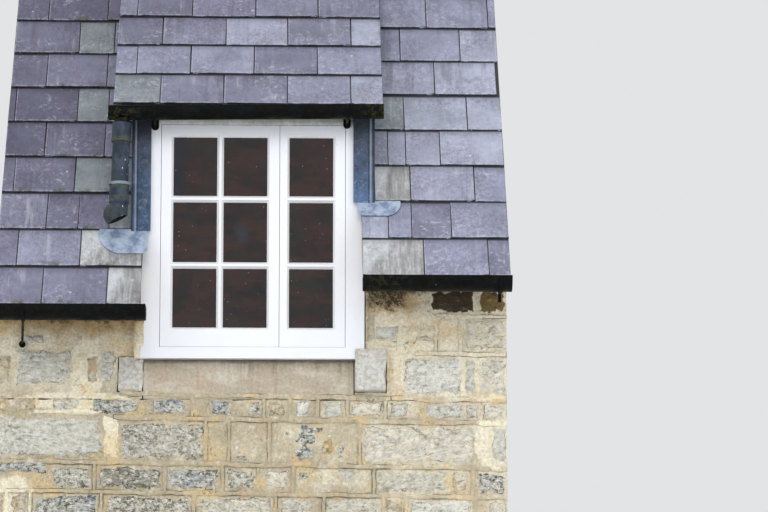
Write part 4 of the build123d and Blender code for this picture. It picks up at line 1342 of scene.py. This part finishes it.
def lay_blocks(name, blocks, side, rim_width, rise, reliefs, grid, sink=-0.005, short=0.0004):
    """Blocks bedded in one face of the wall: each is (from, to, bottom, top, tone) along that face.

    A block's front is raised inside its rim, so the mortar laps over its edges unevenly. Its vertices
    hold how far they are from the rim, which the finishes read."""
    low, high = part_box("wall_below_window")
    piece = start_block(name, (0, 0, 0), (0.1, 0.1, 0.1))
    open_mesh(piece)
    bpy.ops.mesh.select_all(action="SELECT")
    bpy.ops.mesh.delete(type="VERT")
    mesh = bmesh.from_edit_mesh(piece.data)
    mesh.faces.layers.float.new("tone")
    mesh.verts.layers.float.new("rim")
    for start, stop, bottom, top, tone in blocks:
        first, last, (out_x, out_y) = wall_corners(side, start, stop, bottom, top, sink)
        first, last = Vector(first), Vector(last)
        bpy.ops.mesh.select_all(action="DESELECT")
        bpy.ops.mesh.primitive_cube_add(size=1, location=(first + last) / 2, scale=last - first)
        mesh = bmesh.from_edit_mesh(piece.data)
        for face in mesh.faces:
            if face.select:
                face[mesh.faces.layers.float["tone"]] = tone
                face.select_set(face.normal.x * out_x + face.normal.y * out_y > 0.9)
        mesh.select_flush_mode()
        bmesh.update_edit_mesh(piece.data)
        bpy.ops.mesh.inset(thickness=min(rim_width, (top - bottom) * 0.3, (stop - start) * 0.3), depth=rise)
        mesh = bmesh.from_edit_mesh(piece.data)
        for vertex in mesh.verts:
            if vertex.select:
                vertex[mesh.verts.layers.float["rim"]] = 1.0
        bmesh.update_edit_mesh(piece.data)
    close_mesh()
    along = 1 if side in ("left", "right") else 0
    slice_mesh(piece, along, steps(low[along], high[along], grid))
    slice_mesh(piece, 2, steps(0.0, GRID_TOP, grid))

    def free(spot):
        """The part that shows: not the bedded back, the wall's cut ends or its base."""
        deep = {"front": spot.y - low.y, "back": high.y - spot.y}.get(side, min(spot.x - low.x, high.x - spot.x))
        return deep < 0.05 and abs(spot.x) < high.x - 0.003 and spot.z > PLAIN_BASE

    for number, (direction, strength, scale) in enumerate(reliefs):
        roughen(piece, f"{name}_{number}", strength, 0.5, scale, 3, free, direction)
    clamp_inside(piece, short if along == 0 else 0.0)
    smooth(piece, 45)
    return piece


def trim(piece, point, normal):
    """Cuts off what lies past a plane, and closes the cut."""
    open_mesh(piece, "VERT")
    bpy.ops.mesh.select_all(action="SELECT")
    bpy.ops.mesh.bisect(plane_co=point, plane_no=normal, clear_outer=True, use_fill=True)
    close_mesh()


def trim_to_box(piece, node):
    """Cuts a piece off at the section's plain ends and at its top, where the CAD node ends."""
    low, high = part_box(node)
    if low.x < cad_low.x + 0.01:
        trim(piece, (cad_low.x, 0, 0), (-1, 0, 0))
    if high.x > cad_high.x - 0.01:
        trim(piece, (cad_high.x, 0, 0), (1, 0, 0))
    trim(piece, (0, high.y, 0), (0, 1, 0))


def clamp_inside(piece, short=0.0):
    """Keeps a roughened piece between the wall's plain ends, or a little short of them, and above its base."""
    for vertex in piece.data.vertices:
        vertex.co.x = min(cad_high.x - short, max(cad_low.x + short, vertex.co.x))
        vertex.co.z = max(cad_low.z, vertex.co.z)


class DORMER_OT_stones(bpy.types.Operator):
    """Beds the rubble stones and the blocks that are plastered over in the four faces of the wall"""

    bl_idname = "dormer.stones"
    bl_label = "Wall stones"

    # The front as the photograph shows it, course by course from the base up, in metres:
    # bottom and top of the course over the window's middle, then from, to and kind of each stone.
    front_courses = (
        (0.010, 0.146, (
            (-1.030, -0.990, "tan"), (-0.968, -0.895, "tan"), (-0.878, -0.612, "blue"), (-0.594, -0.245, "grey"),
            (-0.217, 0.084, "pale"), (0.109, 0.245, "pale"), (0.290, 0.520, "pale"), (0.536, 0.612, "tan"),
            (0.632, 0.888, "white"), (0.949, 1.030, "cream"),
        )),
        (0.166, 0.262, (
            (-0.804, -0.640, "grey"), (-0.624, -0.357, "dark"), (-0.340, -0.132, "blue"),
            (-0.107, 0.016, "grey"), (0.048, 0.154, "cream"), (0.496, 0.793, "pale"), (0.795, 0.878, "gold"),
            (0.904, 1.030, "grey"),
        )),
        (0.286, 0.444, (
            (-0.531, -0.188, "rough"), (0.445, 0.904, "cream"), (0.965, 1.030, "silver"), (0.144, 0.236, "blue"),
        )),
        (0.470, 0.538, (
            (-1.030, -0.985, "gold"), (-0.955, -0.863, "tan"), (-0.804, -0.692, "pale"), (-0.648, -0.451, "blue"),
            (-0.411, -0.265, "blue"), (-0.170, -0.084, "blue"), (-0.020, 0.036, "grey"), (0.062, 0.133, "tan"),
            (0.172, 0.236, "white"), (0.292, 0.370, "silver"), (0.392, 0.530, "cream"), (0.546, 0.632, "silver"),
            (0.700, 0.852, "silver"), (0.862, 0.916, "smooth"), (0.926, 1.030, "cream"),
        )),
        (0.566, 0.724, (
            (0.606, 0.850, "white"), (0.858, 0.902, "smooth"), (0.914, 1.030, "cream"),
        )),
        (0.750, 0.888, ((0.851, 1.030, "patched"),)),
    )
    # Single stones that keep to no course: from, to, bottom, top and kind.
    front_singles = (
        (-1.030, -0.600, 0.302, 0.470, "silver"), (-1.030, -0.822, 0.236, 0.290, "blue"),
        (-0.957, -0.722, 0.592, 0.740, "smooth"), (-1.030, -0.972, 0.592, 0.716, "tan"),
        (-0.672, -0.622, 0.604, 0.714, "tan"), (-0.538, -0.460, 0.548, 0.584, "tan"),
        (-0.618, -0.552, 0.598, 0.738, "smooth"), (-0.935, -0.842, 0.762, 0.798, "smooth"),
        (0.494, 0.590, 0.784, 0.842, "white"), (0.690, 0.735, 0.768, 0.806, "patched"),
        # The black stone right under the right gutter is darkened by painted shadow.
        (0.712, 0.902, 0.890, 0.990, "black"), (0.911, 1.030, 0.890, 0.990, "brown"),
        (0.268, 0.338, 0.300, 0.430, "ochre"), (0.158, 0.262, 0.290, 0.352, "blue"),
        (0.205, 0.262, 0.352, 0.404, "blue"), (0.222, 0.290, 0.396, 0.426, "dark"),
        (0.334, 0.378, 0.292, 0.352, "grey"), (0.352, 0.386, 0.344, 0.374, "silver"),
        (-0.075, -0.020, 0.292, 0.312, "blue"), (-0.076, -0.044, 0.326, 0.352, "silver"),
        (0.132, 0.152, 0.392, 0.408, "dark"), (0.185, 0.240, 0.206, 0.250, "grey"),
        (0.352, 0.420, 0.208, 0.256, "silver"), (0.655, 0.745, 0.776, 0.806, "ochre"),
    )
    # Blocks plastered over with mortar, and smears of fresher mortar: from, to, bottom, top and how fresh.
    front_plaster = (
        (-0.179, -0.097, 0.283, 0.449, 0.0), (-0.084, 0.063, 0.278, 0.448, 0.0), (0.078, 0.425, 0.276, 0.446, 0.1),
        (0.174, 0.481, 0.162, 0.258, 0.1), (0.752, 0.832, 0.741, 0.884, 0.1), (-0.258, -0.179, 0.466, 0.545, -0.3),
        (-0.722, -0.652, 0.560, 0.730, 0.9), (-0.600, -0.535, 0.300, 0.470, 0.8),
        (-0.880, -0.600, 0.476, 0.500, 0.8), (0.905, 0.968, 0.296, 0.436, 1.0), (0.968, 1.030, 0.262, 0.306, 1.0),
        (0.520, 0.730, 0.836, 0.940, 0.9), (0.596, 0.748, 0.730, 0.850, 0.8), (0.545, 0.606, 0.560, 0.730, 0.9),
        (0.458, 0.500, 0.770, 0.975, -0.3), (0.456, 0.588, 0.736, 0.764, 0.3), (0.590, 0.618, 0.566, 0.726, 0.6),
    )
    # Lumpy mortar that laps over the frame's left edge: from, to, bottom, top and how fresh.
    edge_plaster = ((-0.476, -0.438, 0.701, 0.862, 0.1),)
    # Raised bands of mortar along the beds: from, to, bottom and top, all over the window's middle.
    beds = (
        (-1.030, 1.030, 0.147, 0.166), (-1.030, 1.030, 0.265, 0.284), (-0.560, 1.030, 0.447, 0.468),
        (-0.500, 0.560, 0.542, 0.563), (0.560, 1.030, 0.541, 0.562), (0.660, 1.030, 0.727, 0.747),
        (0.735, 1.030, 0.886, 0.900),
    )
    # Middles of the raised upright bands of each course, from the lowest up.
    uprights = (
        (-0.980, -0.887, -0.603, -0.231, 0.097, 0.290, 0.528, 0.622, 0.900),
        (-0.632, -0.349, -0.118, 0.026, 0.166, 0.492, 0.891),
        (-0.186, -0.092, 0.070, 0.434),
        (-0.240, 0.049, 0.154, 0.264, 0.383, 0.538),
        (),
        (0.742, 0.841),
    )

    def front_stones(self):
        """The stones that the photograph shows, and plain courses where the eaves hide the wall."""
        dip = math.tan(sizes().course_dip)
        stones = []
        for bottom, top, course in self.front_courses:
            for start, stop, kind in course:
                shift = -dip * (start + stop) / 2
                stones.append((start, stop, max(bottom + shift, PLAIN_BASE), top + shift, STONE_TONES[kind]))
        stones += [(*block[:4], STONE_TONES[block[4]]) for block in self.front_singles]
        luck = random.Random(3)
        tones = [STONE_TONES[kind] for kind in ("tan", "gold", "grey", "cream")]
        for bottom, top, ends in (
            (0.990, 1.080, (0.49, 1.03)), (1.080, 1.160, (0.49, 1.03)), (0.870, 0.950, (-1.03, -0.49)),
            (0.950, 1.040, (-1.03, -0.49)),
        ):
            stones += fill_course(bottom, top, ends, luck, tones)
        return stones

    def plain_stones(self, ends_at, seed):
        """Courses of uneven stones over one plain face of the wall."""
        luck = random.Random(seed)
        kinds = ("cream", "tan", "grey", "gold", "rough", "blue", "tan", "grey", "white", "patched")
        tones = [STONE_TONES[kind] for kind in kinds]
        stones = []
        bottom = 0.006
        while bottom < 1.14:
            top = min(bottom + luck.uniform(0.09, 0.18), 1.164)
            for ends in ends_at(bottom, top):
                stones += fill_course(bottom, top, ends, luck, tones)
            bottom = top
        return stones

    def execute(self, context):
        size = sizes()
        low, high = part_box("wall_below_window")
        tops = {side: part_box(f"wall_{side}")[1].z for side in ("left", "right")}
        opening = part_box("window_board")

        def back_ends(bottom, top):
            if top < opening[0].z:
                return [(low.x, high.x)]
            ends = []
            if top < tops["left"]:
                ends.append((low.x, opening[0].x))
            if top < tops["right"]:
                ends.append((opening[1].x, high.x))
            return ends

        def side_ends(side):
            deep = size.stone_bed + 0.006
            return lambda bottom, top: [(low.y + deep, high.y - deep)] if top < tops[side] else []

        rough = (("NORMAL", size.stone_relief, 0.06), ("NORMAL", size.stone_relief * 0.5, 0.018))
        wavy = (("X", 0.020, 0.035), ("Z", 0.018, 0.045))
        faces = (
            ("front_stones", self.front_stones(), "front", size.stone_grid),
            ("back_stones", self.plain_stones(back_ends, 31), "back", size.stone_grid * 1.6),
            ("left_end_stones", self.plain_stones(side_ends("left"), 41), "left", size.stone_grid * 1.6),
            ("right_end_stones", self.plain_stones(side_ends("right"), 51), "right", size.stone_grid * 1.6),
        )
        material = stone_material("rubble_stone")
        for name, stones, side, grid in faces:
            moves = rough + wavy if side in ("front", "back") else rough + (("Y", 0.020, 0.035), wavy[1])
            piece = lay_blocks(name, stones, side, size.stone_rim, size.stone_proud, moves, grid)
            finish_piece(piece, material, "wall_stone")
        soft = (("NORMAL", size.stone_relief * 0.5, 0.08), ("X", 0.028, 0.05), ("Z", 0.024, 0.05))
        piece = lay_blocks(
            "plastered_blocks", self.front_plaster, "front", 0.03, size.stone_proud * 0.8, soft, size.stone_grid,
            short=0.0006,
        )
        finish_piece(piece, bpy.data.materials["lime_mortar"], "wall_stone")
        lumpy = (("NORMAL", 0.010, 0.03), ("X", 0.003, 0.03))
        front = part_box("wall_below_window")[0].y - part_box("frame_jamb_left")[0].y
        piece = lay_blocks("edge_mortar", self.edge_plaster, "front", 0.012, 0.004, lumpy, size.stone_grid, front)
        finish_piece(piece, bpy.data.materials["lime_mortar"], "wall_stone")
        straight = (("NORMAL", 0.004, 0.04), ("Z", 0.018, 0.13), ("Z", 0.006, 0.03), ("X", 0.010, 0.06))
        piece = lay_blocks("pointing", self.bands(), "front", 0.005, 0.002, straight, size.stone_grid, 0.001, 0.0002)
        for vertex in piece.data.vertices:
            vertex.co.z -= math.tan(size.course_dip) * vertex.co.x
        clamp_inside(piece)
        finish_piece(piece, pointing_material("raised_pointing"), "wall_stone")
        return {"FINISHED"}

    def bands(self):
        """The raised pointing: along the beds, and upright between neighbours of one course."""
        bands = [(*bed, 0.0) for bed in self.beds]
        for level, uprights in enumerate(self.uprights):
            bottom, top = self.front_courses[level][:2]
            bands += [(place - 0.008, place + 0.008, bottom - 0.006, top + 0.006, 0.0) for place in uprights]
        return bands


class DORMER_OT_mortar(bpy.types.Operator):
    """Makes the walls' rough lime mortar, in which the stones lie"""

    bl_idname = "dormer.mortar"
    bl_label = "Wall mortar"

    def execute(self, context):
        size = sizes()
        material = mortar_material("lime_mortar")
        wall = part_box("wall_below_window")
        for node in ("wall_below_window", "wall_left", "wall_right"):
            low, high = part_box(node)
            mortar = copy_node(f"mortar_{node}", node)
            slice_mesh(mortar, 0, steps(low.x, high.x, size.mortar_grid))
            slice_mesh(mortar, 2, steps(low.z, high.z, size.mortar_grid))
            slice_mesh(mortar, 1, steps(low.y, high.y, 0.09))

            def outside(spot):
                """The faces of the wall that show, not the window's reveals, the top or the base."""
                deep = min(spot.y - wall[0].y, wall[1].y - spot.y, spot.x - wall[0].x, wall[1].x - spot.x)
                return deep < TINY * 10 and spot.z > PLAIN_BASE

            roughen(mortar, f"{node}_trowel", size.mortar_relief, 0.75, 0.07, 3, outside)
            clamp_inside(mortar, 0.0008)
            smooth(mortar, 40)
            finish_piece(mortar, material, "wall_stone", node)
        return {"FINISHED"}


class DORMER_OT_dressed_stones(bpy.types.Operator):
    """Shapes the stone sill and the pale stones at its two ends"""

    bl_idname = "dormer.dressed_stones"
    bl_label = "Sill and jamb stones"

    def execute(self, context):
        plan = (
            ("worn_sill", "stone_sill", sill_stone_material("weathered_sill"), "sill_stone", 0.006, 0.004),
            ("pecked_stone_left", "jamb_stone_left", pale_stone_material("pecked_stone"), "pale_stone", 0.012, 0.012),
            ("pecked_stone_right", "jamb_stone_right", None, "pale_stone", 0.022, 0.020),
        )
        for name, node, material, slot, rounding, relief in plan:
            material = material or bpy.data.materials["pecked_stone"]
            low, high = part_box(node)
            stone = copy_node(name, node)
            apply_modifier(stone, "BEVEL", width=rounding, segments=3, limit_method="ANGLE")
            for axis in range(3):
                slice_mesh(stone, axis, steps(low[axis], high[axis], 0.018 if axis != 1 else 0.04))

            def shown(spot):
                return spot.y < low.y + 0.05 and low.z + 0.002 < spot.z < high.z - 0.002

            roughen(stone, f"{name}_wear", relief, 0.72, 0.05, 3, shown)
            if slot == "pale_stone":
                for direction in ("X", "Z"):
                    roughen(stone, f"{name}_{direction}", 0.020, 0.5, 0.05, 3, shown, direction)
            smooth(stone, 50)
            finish_piece(stone, material, slot, node)
        return {"FINISHED"}


# Window


def light_of(side):
    """Sight edges of a sash's glazed opening, from its glass, which laps behind the rebate by 8 mm."""
    lap = 8 * MM
    low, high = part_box(f"glass_{side}")
    return low.x + lap, high.x - lap, low.z + lap, high.z - lap


class DORMER_OT_glazing(bpy.types.Operator):
    """Makes the glazing bars and the putty round each pane"""

    bl_idname = "dormer.glazing"
    bl_label = "Glazing bars and putty"

    # Middles of the two rows of bars, in metres over the wall's base.
    bar_rows = (1.0815, 1.354)

    def execute(self, context):
        paint = bpy.data.materials["window_paint"]
        putty = paint_material("painted_putty", colours().putty_white, 0.05)
        for side, columns in (("left", 2), ("right", 1)):
            left, right, bottom, top = light_of(side)
            uprights = [left + (right - left) * number / columns for number in range(1, columns)]
            bars, fillets = self.bars(side, left, right, bottom, top, uprights), []
            half = sizes().bar_width / 2
            xs = [left, *[x + shift for x in uprights for shift in (-half, half)], right]
            zs = [bottom, *[z + shift for z in self.bar_rows for shift in (-half, half)], top]
            for x_from, x_to in zip(xs[::2], xs[1::2]):
                for z_from, z_to in zip(zs[::2], zs[1::2]):
                    fillets.append(self.fillet(side, x_from, x_to, z_from, z_to))
            finish_piece(join(f"glazing_bars_{side}", bars), paint, "white_paint")
            finish_piece(join(f"putty_{side}", fillets), putty, "white_paint")
        return {"FINISHED"}

    def bars(self, side, left, right, bottom, top, uprights):
        """Bars in front of and behind the glass: narrow outside, moulded inside."""
        half = sizes().bar_width / 2
        fin = half - sizes().putty_width
        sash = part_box(f"sash_{side}")
        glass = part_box(f"glass_{side}")
        face, back = sash[0].y + 0.0005, sash[1].y
        bars = []
        past = sizes().putty_width
        spans = [((x - fin, bottom - past), (x + fin, top + past), face) for x in uprights]
        spans += [((left - past, z - fin), (right + past, z + fin), face + 0.0004) for z in self.bar_rows]
        for (x_from, z_from), (x_to, z_to), start in spans:
            front = start_block("bar", (x_from, start, z_from), (x_to, glass[0].y, z_to))
            bevel_edges(front, lambda edge: all(vertex.co.y < start + TINY for vertex in edge.verts), 0.0012, 2)
            bars.append(front)
        spans = [((x - half, bottom), (x + half, top)) for x in uprights]
        spans += [((left, z - half), (right, z + half)) for z in self.bar_rows]
        for (x_from, z_from), (x_to, z_to) in spans:
            inner = start_block("bar", (x_from, glass[1].y, z_from), (x_to, back, z_to))
            axis = 2 if z_to - z_from > x_to - x_from else 0
            bevel_edges(
                inner,
                lambda edge: all(vertex.co.y > back - TINY for vertex in edge.verts)
                and abs(edge.verts[0].co[axis] - edge.verts[1].co[axis]) > 0.05,
                0.009,
                4,
            )
            bars.append(inner)
        return bars

    def fillet(self, side, x_from, x_to, z_from, z_to):
        """The sloping putty round one pane, from the sash's face to the glass."""
        wide = sizes().putty_width
        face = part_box(f"sash_{side}")[0].y + 0.001
        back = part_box(f"glass_{side}")[0].y

        def in_pane(vertex):
            """Whether a vertex lies within the middle line of the putty."""
            across = x_from - wide / 2 < vertex.co.x < x_to + wide / 2
            return across and z_from - wide / 2 < vertex.co.z < z_to + wide / 2

        ring = start_block("fillet", (x_from - wide, face, z_from - wide), (x_to + wide, back, z_to + wide))
        open_mesh(ring)
        pick(ring, "faces", lambda part: abs(part.normal.y) > 0.9)
        bpy.ops.mesh.inset(thickness=wide * 0.94, use_individual=True)
        pick(ring, "faces", lambda part: abs(part.normal.y) > 0.9 and all(map(in_pane, part.verts)))
        bpy.ops.mesh.bridge_edge_loops()
        bpy.ops.mesh.select_mode(type="VERT")
        pick(ring, "verts", lambda vertex: vertex.co.y < face + TINY and in_pane(vertex))
        bpy.ops.transform.translate(value=(0, (back - face) * 0.86, 0))
        close_mesh()
        return ring


class DORMER_OT_finishes(bpy.types.Operator):
    """Gives the CAD pieces their materials"""

    bl_idname = "dormer.finishes"
    bl_label = "Finishes"

    def execute(self, context):
        size = sizes()
        quarter = math.radians(90)
        paint = paint_material("window_paint", colours().paint_white, 0.07)
        paint_nodes(
            paint, "frame_head", "frame_jamb_left", "frame_jamb_right", "frame_sill", "frame_mullion",
            "sash_left", "sash_right", "window_board",
        )
        paint_nodes(glass_material("old_glass"), "glass_left", "glass_right")
        paint_nodes(
            iron_material("black_iron"), "dormer_gutter", "dormer_gutter_brackets", "main_gutter_left",
            "main_gutter_right", "main_gutter_irons",
        )
        paint_nodes(pipe_material("faded_iron"), "downpipe", "downpipe_shoe", "downpipe_bracket")
        paint_nodes(
            lead_material("weathered_lead", False), "cheek_lead_left", "cheek_lead_right", "lead_strip_left",
            "lead_strip_right",
        )
        paint_nodes(lead_material("pale_lead", True), "lead_apron_left", "lead_apron_right")
        paint_nodes(timber_material("timber_level", (0, 0, 0)), "wall_plates", "head_beam", "top_trimmer")
        paint_nodes(timber_material("timber_upright", (0, quarter, 0)), "corner_posts")
        main = timber_material("timber_main_slope", (-size.main_pitch, 0, -quarter))
        paint_nodes(main, "main_rafters_left", "main_rafters_right", "cheek_left", "cheek_right")
        paint_nodes(timber_material("timber_dormer_slope", (-size.dormer_pitch, 0, -quarter)), "dormer_rafters")
        return {"FINISHED"}


class DORMER_OT_stage(bpy.types.Operator):
    """Sets up the floor, the light and the camera"""

    bl_idname = "dormer.stage"
    bl_label = "Stage"

    # The camera that the photograph was fitted with: place in metres, aim and focal length in pixels.
    camera_place = (0.1155, -14.263, -1.1475)
    looks_up = math.radians(9.2)
    looks_right = math.radians(1.7)
    focal_pixels = 3500.0
    picture_width = 768.0
    # Name, place in metres, power and tint of each round lamp, and the width and the aim that they share.
    lamps = (
        ("sky_lamp", (-0.4, -10.5, 7.2), 340, (1.0, 0.995, 0.99)),
        ("ground_lamp", (-0.4, -8.5, -3.2), 215, (1.0, 0.99, 0.97)),
        ("left_lamp", (-6.5, -8.5, 3.6), 115, (1.0, 1.0, 1.0)),
        ("right_lamp", (6.5, -9.0, 3.2), 90, (1.0, 1.0, 1.0)),
        ("back_lamp", (1.0, 8.0, 6.0), 300, (1.0, 1.0, 1.0)),
    )
    lamp_width = 5.0
    lamp_aim = (0, 0, 1.3)

    def execute(self, context):
        scene = context.scene
        scene.view_settings.view_transform = "Standard"
        clear_selection()
        bpy.ops.mesh.primitive_circle_add(vertices=64, radius=9, fill_type="NGON", location=(0, 0, 0))
        floor = bpy.context.object
        floor.name = "floor"
        floor.data.materials.append(floor_material("pale_floor"))
        self.world(scene)
        for name, place, power, tint in self.lamps:
            self.lamp(name, place, power, tint)
        bpy.ops.object.camera_add(
            location=self.camera_place,
            rotation=(math.radians(90) + self.looks_up, 0, -self.looks_right),
        )
        camera = bpy.context.object
        camera.name = "photo_camera"
        camera.data.sensor_width = 36.0
        camera.data.lens = camera.data.sensor_width * self.focal_pixels / self.picture_width
        camera.data.clip_end = 200
        scene.camera = camera
        return {"FINISHED"}

    def lamp(self, name, place, power, tint):
        bpy.ops.object.light_add(type="AREA", location=place)
        lamp = bpy.context.object
        lamp.name = name
        lamp.data.shape = "DISK"
        lamp.data.size = self.lamp_width
        lamp.data.energy = power
        lamp.data.color = tint
        aim = Vector(self.lamp_aim) - Vector(place)
        lamp.rotation_euler = aim.to_track_quat("-Z", "Y").to_euler()

    def world(self, scene):
        """Soft sky light on the object, and a pale background for the camera, for metal and for glass."""
        world = bpy.data.worlds.new("overcast")
        scene.world = world
        world.use_nodes = True
        world.node_tree.nodes.clear()
        tree = Shading(world.node_tree)
        rays = tree.node("LightPath").outputs
        seen = tree.larger(rays["Is Camera Ray"], rays["Is Transmission Ray"])
        sky = tree.node("Background", {"Color": (0.97, 0.985, 1.0, 1.0), "Strength": 0.84}).outputs[0]
        pale = tree.node("Background", {"Color": opaque(srgb(226, 228, 230)), "Strength": 1.0}).outputs[0]
        both = tree.node("MixShader", {0: seen, 1: sky, 2: pale}).outputs["Shader"]
        tree.node("OutputWorld", {"Surface": both})


class DORMER_PT_panel(bpy.types.Panel):
    """Lists the steps and the sizes of the dormer window"""

    bl_idname = "DORMER_PT_panel"
    bl_label = "Dormer window"
    bl_space_type = "VIEW_3D"
    bl_region_type = "UI"
    bl_category = "Dormer"

    def draw(self, context):
        for step in STEPS:
            self.layout.operator(step.bl_idname)
        for group in (context.scene.dormer_sizes, context.scene.dormer_colours):
            box = self.layout.box()
            for key in group.__annotations__:
                box.prop(group, key)


STEPS = (
    DORMER_OT_finishes,
    DORMER_OT_mortar,
    DORMER_OT_stones,
    DORMER_OT_dressed_stones,
    DORMER_OT_main_slates,
    DORMER_OT_dormer_slates,
    DORMER_OT_roof_boards,
    DORMER_OT_glazing,
    DORMER_OT_stage,
)
CLASSES = (DormerSizes, DormerColours, *STEPS, DORMER_PT_panel)


def register():
    for item in CLASSES:
        bpy.utils.register_class(item)
    bpy.types.Scene.dormer_sizes = PointerProperty(type=DormerSizes)
    bpy.types.Scene.dormer_colours = PointerProperty(type=DormerColours)


def unregister():
    del bpy.types.Scene.dormer_colours
    del bpy.types.Scene.dormer_sizes
    for item in reversed(CLASSES):
        bpy.utils.unregister_class(item)


def main():
    register()
    build_groups()
    bpy.ops.dormer.finishes()
    bpy.ops.dormer.mortar()
    bpy.ops.dormer.stones()
    bpy.ops.dormer.dressed_stones()
    bpy.ops.dormer.main_slates()
    bpy.ops.dormer.dormer_slates()
    bpy.ops.dormer.roof_boards()
    bpy.ops.dormer.glazing()
    bpy.ops.dormer.stage()
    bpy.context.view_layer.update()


if __name__ == "__main__":
    main()
